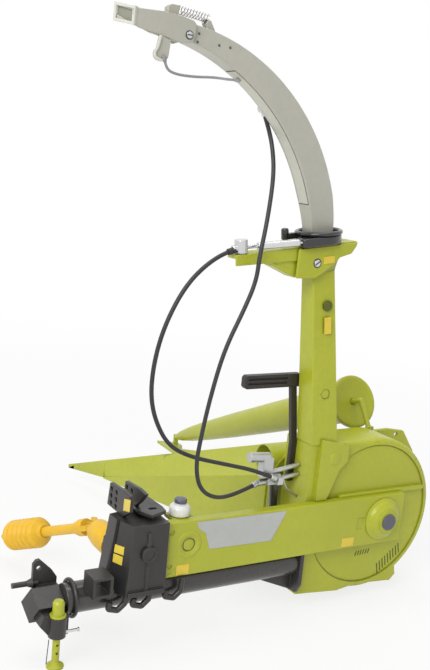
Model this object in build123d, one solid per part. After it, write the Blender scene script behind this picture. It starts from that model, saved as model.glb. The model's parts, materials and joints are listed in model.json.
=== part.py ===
from build123d import *
from math import atan2, cos, radians, sin, tan
import os

# A 1:32 collector's model of a mounted single-row forage harvester, millimetres.
# While it is built, x runs to the machine's right from the belt case's left end, y runs
# forward from the belt case's rear face, and z is the height above the floor.
# At the end everything moves so that the origin is at the bottom centre of the rigid pieces.

# Gaps
seat = 0.05             # between pieces that rest on each other
running = 0.05          # round a pin or shaft that turns

# Chopper housing and belt drive
drum_x = 44.9           # centre of the round housing, from the belt case's left end
drum_radius = 15.0
drum_clearance = 2.3    # below the round housing
hub_height = drum_clearance + drum_radius
pulley_x, pulley_z = drum_x + 1.6, hub_height - 0.35        # the belt pulley's boss
belt_length = 51.6
belt_height = 9.6
belt_depth = 1.9
belt_above_hub = 4.3    # top edge of the belt case above the rotor axis
drum_depth = 7.7
drum_left = 29.2        # flat left wall of the housing
drum_foot_right = 53.6  # right end of its flat foot
drum_bottom = drum_clearance + 0.2
cover_radius = drum_radius - 1.3
cover_thick = 0.4
cover_gap = 0.1
cover_strip = (36.3, 57.6, 0.6, 0.9)    # left, right, height and how far it stands out
boss_profile = ((4.1, 0.0), (4.1, 0.25), (3.7, 0.45), (3.3, 0.95), (2.6, 1.5), (2.2, 1.65), (2.2, 1.9))
cap_radius = 1.55
cap_height = 0.35
front_plate_thick = 0.8
front_plate_top = hub_height + 14.1
front_plate_low = drum_clearance + 1.7
front_plate_left = 31.0
front_plate_right = 61.5
bolt_hole = (56.3, front_plate_top - 1.4, 0.5)      # x, z, radius
throat_left, throat_right = 34.0, 43.6  # opening where the crop enters the housing
throat_low, throat_high = hub_height - 7.8, hub_height + 7.2
panel_out = 0.7         # the chute's foot stands proud of the housing's rear face

# Chute and spout
chute_lean = 7.7        # degrees towards the left
chute_x = 31.8          # centre of the chute where it leaves the housing
chute_y = 3.95
chute_base = (5.7, 4.6)
chute_top = (4.4, 3.4)
chute_length = 34.3
bracket_left = 18.0     # reach of the cylinder arm to the left of the chute's axis
bracket_right = 6.7
bracket_plate = 0.7
bracket_lip = 1.6
bracket_half_width = 3.6
bracket_screw_u, bracket_screw_w = -2.0, 32.6
ring_radius = 4.15
ring_height = 2.3
ring_seat = 0.9         # depth of the ring's recess for the spout
spout_wall = 0.45
spout_width = 3.6
spout_base_width = 2.7
spout_outer = (-4.93, 65.81, 34.09)     # centre x, centre z and radius of the outer curve
spout_inner = (-9.69, 63.53, 34.46)     # the same for the inner curve
spout_tip_x = -5.0

# Discharge flap
flap_pivot = (-2.96, 98.12)             # x and z of its pivot
# Its open end from the pivot, at the near and the far wall: reach, upper and lower edge
mouth_near = (9.0, 2.35, 0.05)
mouth_far = (10.0, 3.2, 0.9)
flap_wall = 0.4
pivot_radius = 0.65
spring_radius = 0.68
spring_wire = 0.12
spring_loop = 0.22      # radius of the loop at its lower end
spring_post_y = 0.6     # half the width of the spring's posts

# Swivel cylinder
post_reach = 16.5       # pivot post, to the left of the swivel axis
post_offset = -1.3      # the same, towards the rear
lug_reach = 4.9         # cylinder's end in the ring's lug, to the left of the swivel axis
lug_offset = -2.9
cylinder_rise = 0.95    # cylinder axis above the ring's underside
barrel_radius = 0.62
rod_radius = 0.3
tongue_thick = 0.3      # flat end of the cylinder in the lug's slot
tongue_radius = 0.4
lug_radius = 0.75

# Beam, hitch and stand
beam_radius = 2.5
beam_y = 3.2
beam_z = hub_height + belt_above_hub - belt_height - 2.3
beam_left = -16.4
beam_right = 28.4
# x, top and drop of each bent rod for the folded hoses
hose_hooks = ((-8.7, beam_z + 0.65, 2.3), (-4.4, beam_z + 0.65, 2.3), (1.5, beam_z + 2.2, 3.4))
hitch_centre = -5.0     # middle of the three-point hitch
lower_pin_reach = 15.55 # from the middle to a lower pin's shoulder
lower_pin_length = 3.3
lower_pin_radius = 0.45
lower_pin_root = 0.9
lower_pin_y = 6.2
lower_pin_z = beam_z + 2.05
top_plate_gap = 2.1     # clear width between the top link plates
top_plate_thick = 0.7
top_hole_radius = 0.4
top_hole_columns = (8.2, 6.3)
case_top = beam_z + 12.6
case_bottom = beam_z + 0.7
top_hole_rows = (case_top + 3.2, case_top + 2.0, case_top + 0.8)
case_right = -0.3
case_rear = -1.2
case_front = 8.0
leg_x = -18.3
leg_radius = 0.6
sleeve_radius = 1.4
sleeve_top = beam_z - 1.1
sleeve_bottom = beam_z - 4.4
foot_radius = 1.4
stand_pin_z = sleeve_bottom + 0.45

# Drive shaft
shaft_y = 17.6          # centre of its universal joint
shaft_z = beam_z + 5.2
shaft_yaw = 19.0        # degrees to the left
shaft_drop = 22.8       # degrees down
shaft_length = 27.7
shaft_radius = 0.95
yoke_radius = 1.35
ear_offset = 1.35       # middle of a yoke's ear, from the joint's centre
ear_thick = 0.4
cross_pin_radius = 0.35
bell_radius = 2.9
guard_radius = 2.85

# Crop header
ridge_tip = (15.4, 79.5, 4.0)
divider_sheet = 0.5
cone_tail = (48.5, 14.6, front_plate_top + 4.6)         # centre of the right divider's round end
cone_nose = (50.4, 88.2, 5.9)
cone_radius = 5.3
cone_tip_radius = 0.6
pan_rear, pan_front = hub_height - 10.7, 3.6        # heights of the pan's lower edge

# Hydraulic hoses
hose_radius = 0.45
nipple_centre = (14.36, 6.4, 89.37)     # fitting on the far side of the spout
hose_start = (14.9, 6.4, 88.3)
cable_radius = 0.2

belt_top = hub_height + belt_above_hub
belt_bottom = belt_top - belt_height
drum_rear = belt_depth
drum_front = drum_rear + drum_depth
drum_top = hub_height + drum_radius - 0.1
plate_front = drum_front + front_plate_thick
lean = radians(chute_lean)
shaft_x = hitch_centre - 0.2
chute_frame = Plane(
    origin=(chute_x, chute_y, drum_top),
    x_dir=(cos(lean), 0, sin(lean)),
    z_dir=(-sin(lean), 0, cos(lean)),
)
bracket_w = chute_length + 2.05         # top of the bracket plate, up the chute's axis


def prism(points, y_from, y_to):
    """A plate or block with its outline in x and z, from one y to another."""
    face = Plane.XZ * make_face(Polyline(*points, close=True))
    return extrude(Pos(0, y_from, 0) * face, amount=y_to - y_from, dir=(0, 1, 0))


def slab(points, x_from, x_to):
    """A plate with its outline in y and z, from one x to another."""
    face = Plane.YZ * make_face(Polyline(*points, close=True))
    return extrude(Pos(x_from, 0, 0) * face, amount=x_to - x_from, dir=(1, 0, 0))


def block(low, high):
    """A box between two corners."""
    size = [b - a for a, b in zip(low, high)]
    return Pos(*low) * Box(*size, align=(Align.MIN, Align.MIN, Align.MIN))


def rod(start, end, radius, end_radius=None):
    """A round bar or cone between two points."""
    along = Vector(*end) - Vector(*start)
    frame = Plane(origin=start, z_dir=along)
    ends = (Align.CENTER, Align.CENTER, Align.MIN)
    if end_radius is None:
        return frame * Cylinder(radius, along.length, align=ends)
    return frame * Cone(radius, end_radius, along.length, align=ends)


def turned(frame, profile):
    """A turned piece: profile lists radius and height along the frame's z."""
    first, last = profile[0], profile[-1]
    points = [(0, first[1])] + [tuple(p) for p in profile] + [(0, last[1])]
    face = make_face(Polyline(*points, close=True))
    return frame * revolve(Plane.XZ * face, Axis.Z)


def at_chute(u, v, w):
    """A point given across, forward of and up the leaning chute's axis."""
    return chute_frame.from_local_coords(Vector(u, v, w))


def chute_box(low, high):
    """A box given in the leaning chute's own directions."""
    return chute_frame * block(low, high)


def chute_prism(points, v_from, v_to):
    """An outline across and up the chute's axis, from one depth to another."""
    face = Plane.XZ * make_face(Polyline(*points, close=True))
    return chute_frame * extrude(Pos(0, v_from, 0) * face, amount=v_to - v_from, dir=(0, 1, 0))


def bent_tube(points, radius, name):
    """A tube along straight runs that are joined by arcs as large as the runs allow."""
    runs = [Vector(*b) - Vector(*a) for a, b in zip(points, points[1:])]
    radii = []
    for before, after in zip(runs, runs[1:]):
        turn = radians(before.get_angle(after))
        radii.append(0.45 * min(before.length, after.length) / tan(turn / 2))
    path = FilletPolyline(*points, radius=radii)
    print(name, "length", round(path.length, 2), "radii", [round(r, 1) for r in radii])
    section = Plane(origin=path @ 0, z_dir=path % 0) * Circle(radius)
    return sweep(section, path=path)


# Chopper housing


def make_housing():
    left, right, bottom = drum_left, drum_foot_right, drum_bottom
    outline = ((left, bottom + 0.9), (left + 10, bottom), (right - 1.3, bottom), (right, bottom + 1.2),
               (right, hub_height), (drum_x, hub_height), (drum_x, drum_top), (left, drum_top))
    body = prism(outline, drum_rear, drum_front)
    body += rod((drum_x, drum_rear, hub_height), (drum_x, drum_front, hub_height), drum_radius)
    recess = cover_radius + cover_gap
    body -= rod((drum_x, drum_rear - 1, hub_height), (drum_x, drum_rear + cover_thick, hub_height), recess)
    return body + chute_panel(0) - throat_opening(drum_front - 3.5)


def throat_opening(rear):
    """Where the crop enters through the front plate, from one depth in the housing."""
    return block((throat_left, rear, throat_low), (throat_right, plate_front + 1, throat_high))


def chute_panel(grow):
    """The chute's foot, which shows as a raised panel on the housing's rear face."""
    left, low, top = drum_left + 1.65, belt_top + seat, drum_top + 1.2
    lower = ((left, low), (left + 2.5 + grow, low), (left + 4.75 + grow, low + 5.5), (left + 6.5 + grow, drum_top - 3.4),
             (left + 6.5 + grow, drum_top - 0.5), (left + 1.0, drum_top), (left, drum_top))
    upper = ((left, drum_top - 1), (left + 6.5, drum_top - 1), (left + 6.5, drum_top - 0.4), (left, top))
    rear = drum_rear - panel_out
    panel = prism(lower, rear, drum_rear + 0.5)
    # the upper edge laps over the chute's own rear face
    if grow == 0:
        panel += prism(upper, rear, chute_y - chute_base[1] / 2 - seat)
    mark = (left + 3.45, rear, low + 7.9)
    panel -= rod(mark, (mark[0], rear + 0.15, mark[2]), 1.45)
    return panel + rod(mark, (mark[0], rear + 0.2, mark[2]), 1.25)


def make_cover():
    cover = rod((drum_x, drum_rear, hub_height), (drum_x, drum_rear + cover_thick, hub_height), cover_radius)
    left, right, high, out = cover_strip
    low = belt_top + seat
    strip = block((left, drum_rear - out, low), (right, drum_rear, low + high))
    slots = []
    for step in range(9):
        middle = (drum_x + 3.5 + 0.65 * step, hub_height - 12.0 + 0.45 * step)
        slot = Rot(0, 24, 0) * Box(0.35, 0.5, 1.7)
        slots.append(Pos(middle[0], drum_rear, middle[1]) * slot)
    vent_left = drum_x - 3.4
    for step in range(6):
        slots.append(Pos(vent_left + 0.75 * step, drum_rear, belt_bottom - 1.3) * Rot(0, 20, 0) * Box(0.3, 0.5, 1.1))
    return cover + strip - slots - chute_panel(seat)


def make_front_plate():
    top, right = front_plate_top, front_plate_right
    low = front_plate_low
    outline = ((front_plate_left, low), (right - 5, low), (right, low + 5.0), (right, top - 5.2),
               (right - 3.3, top - 0.7), (right - 7.5, top), (front_plate_left, top - 0.6))
    plate = prism(outline, drum_front, plate_front)
    x, z, radius = bolt_hole
    plate -= rod((x, drum_front - 1, z), (x, plate_front + 1, z), radius)
    return plate - throat_opening(drum_front - 1)


def make_belt_case():
    case = block((0, 0, belt_bottom), (belt_length, belt_depth, belt_top))
    case = fillet(case.edges().filter_by(Axis.Y), 0.35)
    dish_x, dish_z = 4.3, belt_top - 4.2
    dish = rod((dish_x, -1, dish_z), (dish_x, 0.2, dish_z), 1.6)
    rim = rod((dish_x, -0.12, dish_z), (dish_x, 0.3, dish_z), 1.95)
    case = case + rim - dish
    for z in (belt_top - 1.7, belt_bottom + 1.9):
        case -= rod((0.95, -1, z), (0.95, 0.25, z), 0.4)
    patch = pulley_x - boss_profile[0][0] - 0.1
    return case - block((patch - 1.75, -0.5, pulley_z - 1.5), (patch, 0.2, pulley_z + 0.7))


def make_hub_boss():
    frame = Plane(origin=(pulley_x, 0, pulley_z), z_dir=(0, -1, 0))
    return turned(frame, boss_profile)


def make_hub_cap():
    frame = Plane(origin=(pulley_x, -boss_profile[-1][1], pulley_z), z_dir=(0, -1, 0))
    cap = ((cap_radius, 0), (cap_radius, cap_height - 0.12), (cap_radius - 0.15, cap_height))
    return turned(frame, cap)


# Chute, bracket and swivel


def make_chute():
    lower = chute_frame * Rectangle(*chute_base)
    upper = chute_frame.offset(chute_length) * Rectangle(*chute_top)
    column = loft([lower.face(), upper.face()])
    # the leaning foot is trimmed level where it stands on the housing
    column += chute_box((-chute_base[0] / 2, -chute_base[1] / 2, -2), (chute_base[0] / 2, chute_base[1] / 2, 0))
    column -= block((0, -20, -20), (60, 30, drum_top))
    view_hole = at_chute(0.4, 0, 25.5)
    column -= rod((view_hole.X, -2, view_hole.Z), (view_hole.X, 3.2, view_hole.Z), 0.62)
    emboss = at_chute(0.1, 0, 9.6)
    face_y = chute_y - chute_base[1] / 2 + 0.1
    column += rod((emboss.X, face_y, emboss.Z), (emboss.X, face_y + 1, emboss.Z), 0.9)
    return column


def make_bracket():
    half, top = bracket_half_width, bracket_w
    under = top - bracket_plate
    lip = top - bracket_plate - bracket_lip
    # plan of the top plate: a narrow arm to the left that widens round the ring
    plan = ((-bracket_left, -2.2), (bracket_right, -2.2), (bracket_right, half), (-4.6, half), (-7.5, 1.4),
            (-bracket_left, 0.6))
    plate = chute_frame.offset(under) * make_face(Polyline(*plan, close=True))
    body = extrude(plate, amount=bracket_plate, dir=chute_frame.z_dir)
    rear_lip = ((-bracket_left, under), (-bracket_left, top - 1.8), (-11.1, top - 2.0), (-10.7, lip + 0.3),
                (-3.4, lip), (3.4, lip), (5.4, top - 2.0), (bracket_right, top - 0.9), (bracket_right, under))
    body += chute_prism(rear_lip, -2.2, -1.8)
    collar = chute_box((-2.75, -2.6, chute_length - 2.7), (2.6, 2.5, under))
    throat = chute_box((-chute_top[0] / 2 - 0.12, -chute_top[1] / 2 - 0.1, chute_length - 4),
                       (chute_top[0] / 2 + 0.12, chute_top[1] / 2 + 0.1, chute_length + seat))
    low = chute_length - 3.0
    gusset = ((-10.8, lip + 0.4), (-10.6, low + 2.4), (-6.3, low), (-2.7, low), (-2.7, under), (-10.8, under))
    body += chute_prism(gusset, -1.8, 1.2)
    body = body + collar - throat
    hollow = ((-10.2, under - 0.2), (-10.0, low + 2.7), (-6.1, low + 0.5), (-3.2, low + 0.5), (-3.2, under - 0.2))
    body -= chute_prism(hollow, -1.3, 1.9)
    # round boss for the screw on the collar's rear
    boss = at_chute(bracket_screw_u, 0, bracket_screw_w)
    face = chute_y - 2.6
    return body + rod((boss.X, face, boss.Z), (boss.X, face + 0.7, boss.Z), 1.15)


def make_bracket_screw():
    middle = at_chute(bracket_screw_u, 0, bracket_screw_w)
    face = chute_y - 2.6
    head = rod((middle.X, face - 0.4, middle.Z), (middle.X, face, middle.Z), 0.65)
    slot = Pos(middle.X, face - 0.4, middle.Z) * Rot(0, 35, 0) * Box(2, 0.35, 0.2)
    return head - slot


def make_ring():
    low, high = bracket_w + seat, bracket_w + seat + ring_height
    ends = (Align.CENTER, Align.CENTER, Align.MIN)
    body = chute_frame.offset(low) * Cylinder(ring_radius - 0.45, ring_height - 0.6, align=ends)
    body += chute_frame.offset(high - 0.75) * Cylinder(ring_radius, 0.75, align=ends)
    # square shoulder at the rear left, which carries the slotted lug for the swivel cylinder
    shoulder = chute_box((-3.9, lug_offset - lug_radius, low), (2.6, -1.0, low + 1.65))
    at_lug = chute_frame.offset(low + 0.35)
    lug = at_lug * (Pos(-lug_reach, lug_offset, 0) * Cylinder(lug_radius, 1.2, align=ends))
    lug += chute_box((-lug_reach, lug_offset - lug_radius, low + 0.35), (-3.0, lug_offset + lug_radius, low + 1.55))
    slot = low + cylinder_rise - tongue_thick / 2 - 0.1
    body = body + shoulder + lug
    body -= chute_box((-lug_reach - 3, lug_offset - 3, slot),
                      (-lug_reach + 1.1, lug_offset + 2.6, slot + tongue_thick + 0.2))
    body -= chute_frame.offset(high - ring_seat) * Cylinder(ring_radius - 0.7, 2, align=ends)
    # knob at the front left, on a short bar
    bar = chute_box((-5.4, 1.0, low + 0.95), (-2.6, 2.2, low + 2.05))
    knob = chute_frame.offset(low + 0.95) * (Pos(-5.9, 1.6, 0) * Cylinder(0.65, 2.0, align=ends))
    return body + bar + knob


def cylinder_frame():
    """Plane at the pivot post with its x along the swivel cylinder."""
    post = at_chute(-post_reach, post_offset, bracket_w + seat)
    eye = at_chute(-lug_reach, lug_offset, bracket_w + seat)
    return Plane(origin=post, x_dir=eye - post, z_dir=chute_frame.z_dir), (eye - post).length


def make_post():
    frame, _ = cylinder_frame()
    body = frame * Cylinder(0.9, 0.1, align=(Align.CENTER, Align.CENTER, Align.MIN))
    return body + frame * Cylinder(0.4, 1.7, align=(Align.CENTER, Align.CENTER, Align.MIN))


def make_barrel():
    """The bright tube, with a flat tongue that enters the slot of the ring's lug."""
    frame, length = cylinder_frame()
    middle = frame.offset(cylinder_rise)

    def along(x):
        return tuple(middle.from_local_coords(Vector(x, 0, 0)))
    end = length - lug_radius - 0.5
    body = rod(along(3.0), along(end), barrel_radius) - rod(along(2.0), along(end - 0.8), rod_radius + running)
    ends = (Align.CENTER, Align.CENTER, Align.MIN)
    tongue = Pos(0, 0, -tongue_thick / 2) * Cylinder(tongue_radius, tongue_thick, align=ends)
    neck = block((-lug_radius - 0.6, -tongue_radius, -tongue_thick / 2), (0, tongue_radius, tongue_thick / 2))
    at_eye = Plane(origin=along(length), x_dir=middle.x_dir, z_dir=middle.z_dir)
    return body + at_eye * (tongue + neck)


def make_rod():
    """The pivot head on its post, with the thin rod that runs into the tube."""
    frame, length = cylinder_frame()
    middle = frame.offset(cylinder_rise)
    ends = (Align.CENTER, Align.CENTER, Align.MIN)

    def along(x):
        return tuple(middle.from_local_coords(Vector(x, 0, 0)))
    head = frame.offset(0.1 + seat) * Cylinder(1.1, 2.1, align=ends)
    head -= frame * Cylinder(0.4 + running, 1.7 + running, align=ends)
    port = tuple(middle.from_local_coords(Vector(-0.9, -0.2, 0)))
    port_end = tuple(middle.from_local_coords(Vector(-1.7, -0.34, 0)))
    return head + rod(along(0.8), along(length - 2.4), rod_radius) + rod(port, port_end, 0.5)


# Spout and discharge flap


def curve_z(curve, x):
    """Height of one of the spout's curves at x, on its upper side."""
    cx, cz, radius = curve
    return cz + (radius ** 2 - (x - cx) ** 2) ** 0.5


def curve_x(curve, z):
    """Place of one of the spout's curves at a height, on its right side."""
    cx, cz, radius = curve
    return cx + (radius ** 2 - (z - cz) ** 2) ** 0.5


def spout_face(low_z, tip_x, inset):
    """Side outline of the spout between its two curves, drawn in by inset."""
    outer = (spout_outer[0], spout_outer[1], spout_outer[2] - inset)
    inner = (spout_inner[0], spout_inner[1], spout_inner[2] + inset)
    base = [(curve_x(c, low_z), low_z) for c in (outer, inner)]
    tip = [(tip_x, curve_z(c, tip_x)) for c in (outer, inner)]
    middle = []
    for cx, cz, radius in (outer, inner):
        from_angle = atan2(low_z - cz, (radius ** 2 - (low_z - cz) ** 2) ** 0.5)
        to_angle = atan2((radius ** 2 - (tip_x - cx) ** 2) ** 0.5, tip_x - cx)
        half = (from_angle + to_angle) / 2
        middle.append((cx + radius * cos(half), cz + radius * sin(half)))
    edges = [
        ThreePointArc(base[0], middle[0], tip[0]),
        Line(tip[0], tip[1]),
        ThreePointArc(tip[1], middle[1], base[1]),
        Line(base[1], base[0]),
    ]
    return Plane.XZ * make_face(edges)


def spout_solid(low_z, tip_x, inset, width):
    face = Pos(0, chute_y - width / 2, 0) * spout_face(low_z, tip_x, inset)
    return extrude(face, amount=width, dir=(0, 1, 0))


def make_spout():
    foot = bracket_w + seat + ring_height - ring_seat + seat
    low = at_chute(0, 0, foot).Z - 1.2
    body = spout_solid(low, spout_tip_x, 0, spout_width)
    # the lower end narrows to stand inside the ring
    half, base = spout_width / 2, spout_base_width / 2
    keep = ((chute_y - base, low - 2), (chute_y + base, low - 2), (chute_y + base, low + 2.5),
            (chute_y + half, low + 8), (chute_y + half, 110), (chute_y - half, 110), (chute_y - half, low + 8),
            (chute_y - base, low + 2.5))
    body = body & slab(keep, -20, 50)
    body -= spout_solid(low + 9, spout_tip_x - 1, spout_wall, spout_width - 2 * spout_wall)
    return body - chute_box((-20, -20, -20), (20, 20, foot))


def make_flap_pivots():
    x, z = flap_pivot
    reach = spout_width / 2 + flap_wall + seat + 0.35
    half = spout_width / 2
    near = rod((x, chute_y - reach, z), (x, chute_y - half, z), pivot_radius - running)
    far = rod((x, chute_y + half, z), (x, chute_y + reach, z), pivot_radius - running)
    screw_slot = Pos(x, chute_y - reach, z) * Rot(0, 40, 0) * Box(2, 0.3, 0.2)
    return near - screw_slot, far


def skewed(near, far, y_near, y_far):
    """A solid between two outlines in x and z, one at each y."""
    faces = [Pos(0, y, 0) * (Plane.XZ * make_face(Polyline(*outline, close=True)))
             for outline, y in ((near, y_near), (far, y_far))]
    return loft(faces, ruled=True)


def make_flap():
    """Hood on the spout's end: two side walls and a roof, its far wall a little higher."""
    x, z = flap_pivot
    inside = spout_width / 2 + seat
    outside = inside + flap_wall
    walls, hollows, rims, gaps = [], [], [], []
    for reach, top, low in (mouth_near, mouth_far):
        tip, lift = x - reach, (top - mouth_near[1]) / 2
        walls.append(((x + 1.3, z + 0.2), (x + 1.0, z + 1.45), (x, z + 2.05), (x - 3.4, z + 2.5 + lift), (tip, z + top),
                      (tip, z + low), (x - 6.4, z - 0.75 + lift), (x - 2.1, z - 1.35), (x - 0.4, z - 1.2),
                      (x + 1.1, z - 0.6)))
        roof = z + top - flap_wall
        hollows.append(((x + 2, z - 2), (tip - 1, z - 2), (tip - 1, roof), (x - 3.4, z + 2.1 + lift),
                        (x - 2.1, z + 2.07 + lift), (x - 2.1, z + 4), (x + 2, z + 4)))
        # a raised rim frames the open end
        rims.append(((tip, z + top + 0.15), (tip, z + low - 0.15), (tip + 0.45, z + low - 0.15),
                     (tip + 0.45, z + top + 0.15)))
        gaps.append(((tip - 1, roof), (tip - 1, z + low + 0.2), (tip + 2, z + low + 0.2), (tip + 2, roof)))
    body = skewed(*walls, chute_y - outside, chute_y + outside)
    body -= skewed(*hollows, chute_y - inside, chute_y + inside)
    body += skewed(*rims, chute_y - outside - 0.15, chute_y + outside + 0.15)
    body -= skewed(*gaps, chute_y - inside, chute_y + inside)
    return body - rod((x, chute_y - 5, z), (x, chute_y + 5, z), pivot_radius)


def make_lever():
    """Bent plate under the flap's side for the cable."""
    x, z = flap_pivot
    arm = ((x - 5.0, z - 0.55), (x - 3.0, z - 1.0), (x - 3.55, z - 3.9), (x - 4.6, z - 4.1), (x - 5.5, z - 3.7),
           (x - 5.75, z - 3.0))
    face = flap_side_face()
    return prism(arm, face - flap_wall, face)


def flap_side_face():
    """Outside of the flap's near side wall."""
    return chute_y - spout_width / 2 - seat - flap_wall


# Hitch, beam and stand


def make_beam():
    return rod((beam_left, beam_y, beam_z), (beam_right, beam_y, beam_z), beam_radius)


def make_beam_end():
    """Flange that bolts the beam to the housing, with a gusset under the tube."""
    x_to = drum_left - seat
    low, low_top, high_top = beam_z - 5.5, belt_bottom - seat, beam_z + 3.3
    outline = ((beam_y - 3.0, low + 1.8), (beam_y - 2.0, low), (beam_y + 3.0, low), (beam_y + 3.2, high_top),
               (belt_depth + seat, high_top), (belt_depth + seat, low_top), (beam_y - 3.0, low_top))
    flange = slab(outline, beam_right, x_to)
    under = beam_z - beam_radius - seat
    gusset = prism(((beam_right - 7.0, under), (beam_right + 0.1, under), (beam_right + 0.1, under - 3.0)),
                   beam_y - 0.5, beam_y + 0.5)
    return flange + gusset


def make_hitch_box():
    """Tilted box at the beam's left end, cast in one with the left ear, its pin and the stand's sleeve."""
    right = beam_left - seat
    section = ((1.3, beam_z - 0.1), (4.9, beam_z + 1.8), (6.7, beam_z - 1.2), (3.0, beam_z - 3.1))
    box = slab(section, leg_x - 6, right)
    # its left end leans
    end = Plane(origin=(leg_x - 2.7, 1.3, beam_z - 0.1), z_dir=(-1, -0.14, 0.2))
    box -= end * block((-9, -9, 0), (9, 9, 9))
    web = prism(((leg_x - 2.9, beam_z - 2.4), (leg_x - 1.2, sleeve_bottom), (right, sleeve_bottom), (right, sleeve_top),
                 (leg_x - 2.3, sleeve_top + 0.3)), 0, 3.4)
    sleeve = rod((leg_x, 0, sleeve_bottom), (leg_x, 0, sleeve_top), sleeve_radius)
    left, y, z = hitch_centre - lower_pin_reach, lower_pin_y, lower_pin_z
    front = y + lower_pin_radius
    ear = prism(((left, z - 0.9), (left, z + 3.2), (left + 0.5, z + 3.8), (left + 1.1, z + 3.9), (left + 3.2, z + 1.9),
                 (left + 4.1, z + 0.6), (left + 4.1, z - 0.9)), front - 0.7, front)
    ear -= rod((left + 0.95, y - 2, z + 2.5), (left + 0.95, y + 2, z + 2.5), 0.4)
    ear += block((left + 0.6, 4.6, z - 2.4), (left + 4.1, front, z - 0.4))
    pin = rod((left + 1.0, y, z), (left - lower_pin_length, y, z), lower_pin_radius)
    # the pin's root widens to the ear
    pin += rod((left, y, z), (left - lower_pin_root, y, z), 0.8, lower_pin_radius)
    body = box + web + sleeve + ear + pin
    # the sleeve's bore, room for the knob above it, and the hole of the stand's pin
    body -= rod((leg_x, 0, 0), (leg_x, 0, 20), leg_radius + running)
    body -= rod((leg_x, 0, sleeve_top), (leg_x, 0, 20), sleeve_radius)
    return body - rod((leg_x, 0, stand_pin_z), (leg_x + 4, 0, stand_pin_z), 0.25 + running)


def make_right_hitch():
    """The right lower pin's bracket in front of the beam."""
    right, y, z = hitch_centre + lower_pin_reach, lower_pin_y, lower_pin_z
    bracket = slab(((beam_y, z + 1.6), (y + 1.2, z + 1.6), (y + 1.2, z - 1.6), (y - 0.4, z - 3.4), (beam_y, z - 3.4)),
                   right - 0.8, right)
    bracket -= rod((right - 2, beam_y, beam_z), (right + 2, beam_y, beam_z), beam_radius + seat)
    return bracket + rod((right - 0.4, y, z), (right + lower_pin_length, y, z), lower_pin_radius)


def make_leg():
    knob = sleeve_top + seat
    frame = Plane(origin=(leg_x, 0, 0), z_dir=(0, 0, 1))
    profile = ((foot_radius, 0), (foot_radius, 0.35), (0.9, 0.7), (leg_radius, 0.95), (leg_radius, knob),
               (1.3, knob), (1.3, knob + 0.3), (0.95, knob + 0.35), (0.95, knob + 2.3), (0.7, knob + 2.65))
    leg = turned(frame, profile)
    for z in (2.5, 3.9):
        leg -= rod((leg_x, -2, z), (leg_x, 2, z), 0.22)
    return leg


def make_stand_pin():
    start, z = leg_x + leg_radius + 2 * running, stand_pin_z
    pin = rod((start, 0, z), (start + 3.0, 0, z), 0.25)
    return pin + rod((start + 2.8, 0, z), (start + 3.0, 0, z), 0.36)


def make_headstock():
    """Gear case on the beam, narrower at the top, with its left rear corner cut back."""
    right, rear, front = case_right, case_rear, case_front
    lower = ((right, rear), (right - 7.1, rear), (right - 10.1, rear + 4.6), (right - 10.1, front), (right, front))
    upper = ((right, rear + 0.2), (right - 6.3, rear + 0.2), (right - 8.6, rear + 3.6), (right - 8.6, front - 0.6),
             (right, front - 0.6))
    floor = Pos(0, 0, case_bottom) * make_face(Polyline(*lower, close=True))
    roof = Pos(0, 0, case_top) * make_face(Polyline(*upper, close=True))
    body = loft([floor, roof], ruled=True)
    middle = right - 3.5
    # a round boss with a rib below it, and a lip along the rear's foot
    boss = case_bottom + 7.0
    body += rod((middle, rear - 0.35, boss), (middle, rear + 1.5, boss), 1.2)
    body += block((middle - 0.3, rear - 0.15, case_bottom + 0.5), (middle + 0.3, rear + 0.8, boss + 3.6))
    body += block((right - 6.9, rear - 0.45, case_bottom), (right - 0.3, rear + 0.6, case_bottom + 0.8))
    body += rod((shaft_x, front - 1.0, shaft_z), (shaft_x, front + 0.9, shaft_z), guard_radius)
    body -= rod((-20, beam_y, beam_z), (5, beam_y, beam_z), beam_radius + seat)
    body -= rod((shaft_x, front - 0.5, shaft_z), (shaft_x, front + 2, shaft_z), 0.8 + running)
    return body


def make_top_plates():
    plates = []
    base = case_top + seat
    outline = ((1.3, base + 0.7), (1.5, base + 4.2), (4.0, base + 4.4), (9.0, base + 4.0), (9.6, base), (2.0, base))
    for x in (hitch_centre - top_plate_gap / 2 - top_plate_thick, hitch_centre + top_plate_gap / 2):
        plate = slab(outline, x, x + top_plate_thick)
        for y in top_hole_columns:
            for z in top_hole_rows:
                plate -= rod((x - 1, y, z), (x + 2, y, z), top_hole_radius)
        plates.append(plate)
    return plates


def make_draw_plate():
    """Flat plate beside the top link plates with an oval hole in its rear end."""
    right = hitch_centre + top_plate_gap / 2 + top_plate_thick + seat
    plan = ((right, 7.2), (right + 0.9, 9.1), (right + 2.9, 9.2), (right + 3.3, 8.6), (right + 3.6, 3.3),
            (right + 3.3, 1.3), (right + 1.3, -0.1), (right - 0.4, 0.4), (right, 2.0))
    low = case_top + 0.6
    plate = extrude(Pos(0, 0, low) * make_face(Polyline(*plan, close=True)), amount=0.6)
    plate -= extrude(Pos(right + 1.5, 2.8, low) * SlotOverall(1.5, 0.8), amount=2)
    plate += block((right + 0.2, 3.6, case_top + seat), (right + 2.2, 7.0, low + 0.1))
    # cut clear of the near top link plate
    return plate - block((right - 5, 0, low - 1), (right, 9.9, low + 2))


def make_stub_tube():
    """Short square tube across the beam, open to the rear."""
    centre_x, low, size, wall = -11.8, beam_z + 1.7, 3.4, 0.45
    outer = block((centre_x - size / 2, -2.0, low), (centre_x + size / 2, 2.0, low + size))
    outer -= block((centre_x - size / 2 + wall, -3, low + wall), (centre_x + size / 2 - wall, 6, low + size - wall))
    return outer - rod((-20, beam_y, beam_z), (5, beam_y, beam_z), beam_radius + seat)


def make_hoop():
    """Rod ring round the beam beside the hitch box."""
    ring = Torus(beam_radius + seat + 0.35, 0.35)
    return Plane(origin=(-15.1, beam_y, beam_z), z_dir=(1, 0, 0)) * ring


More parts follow.
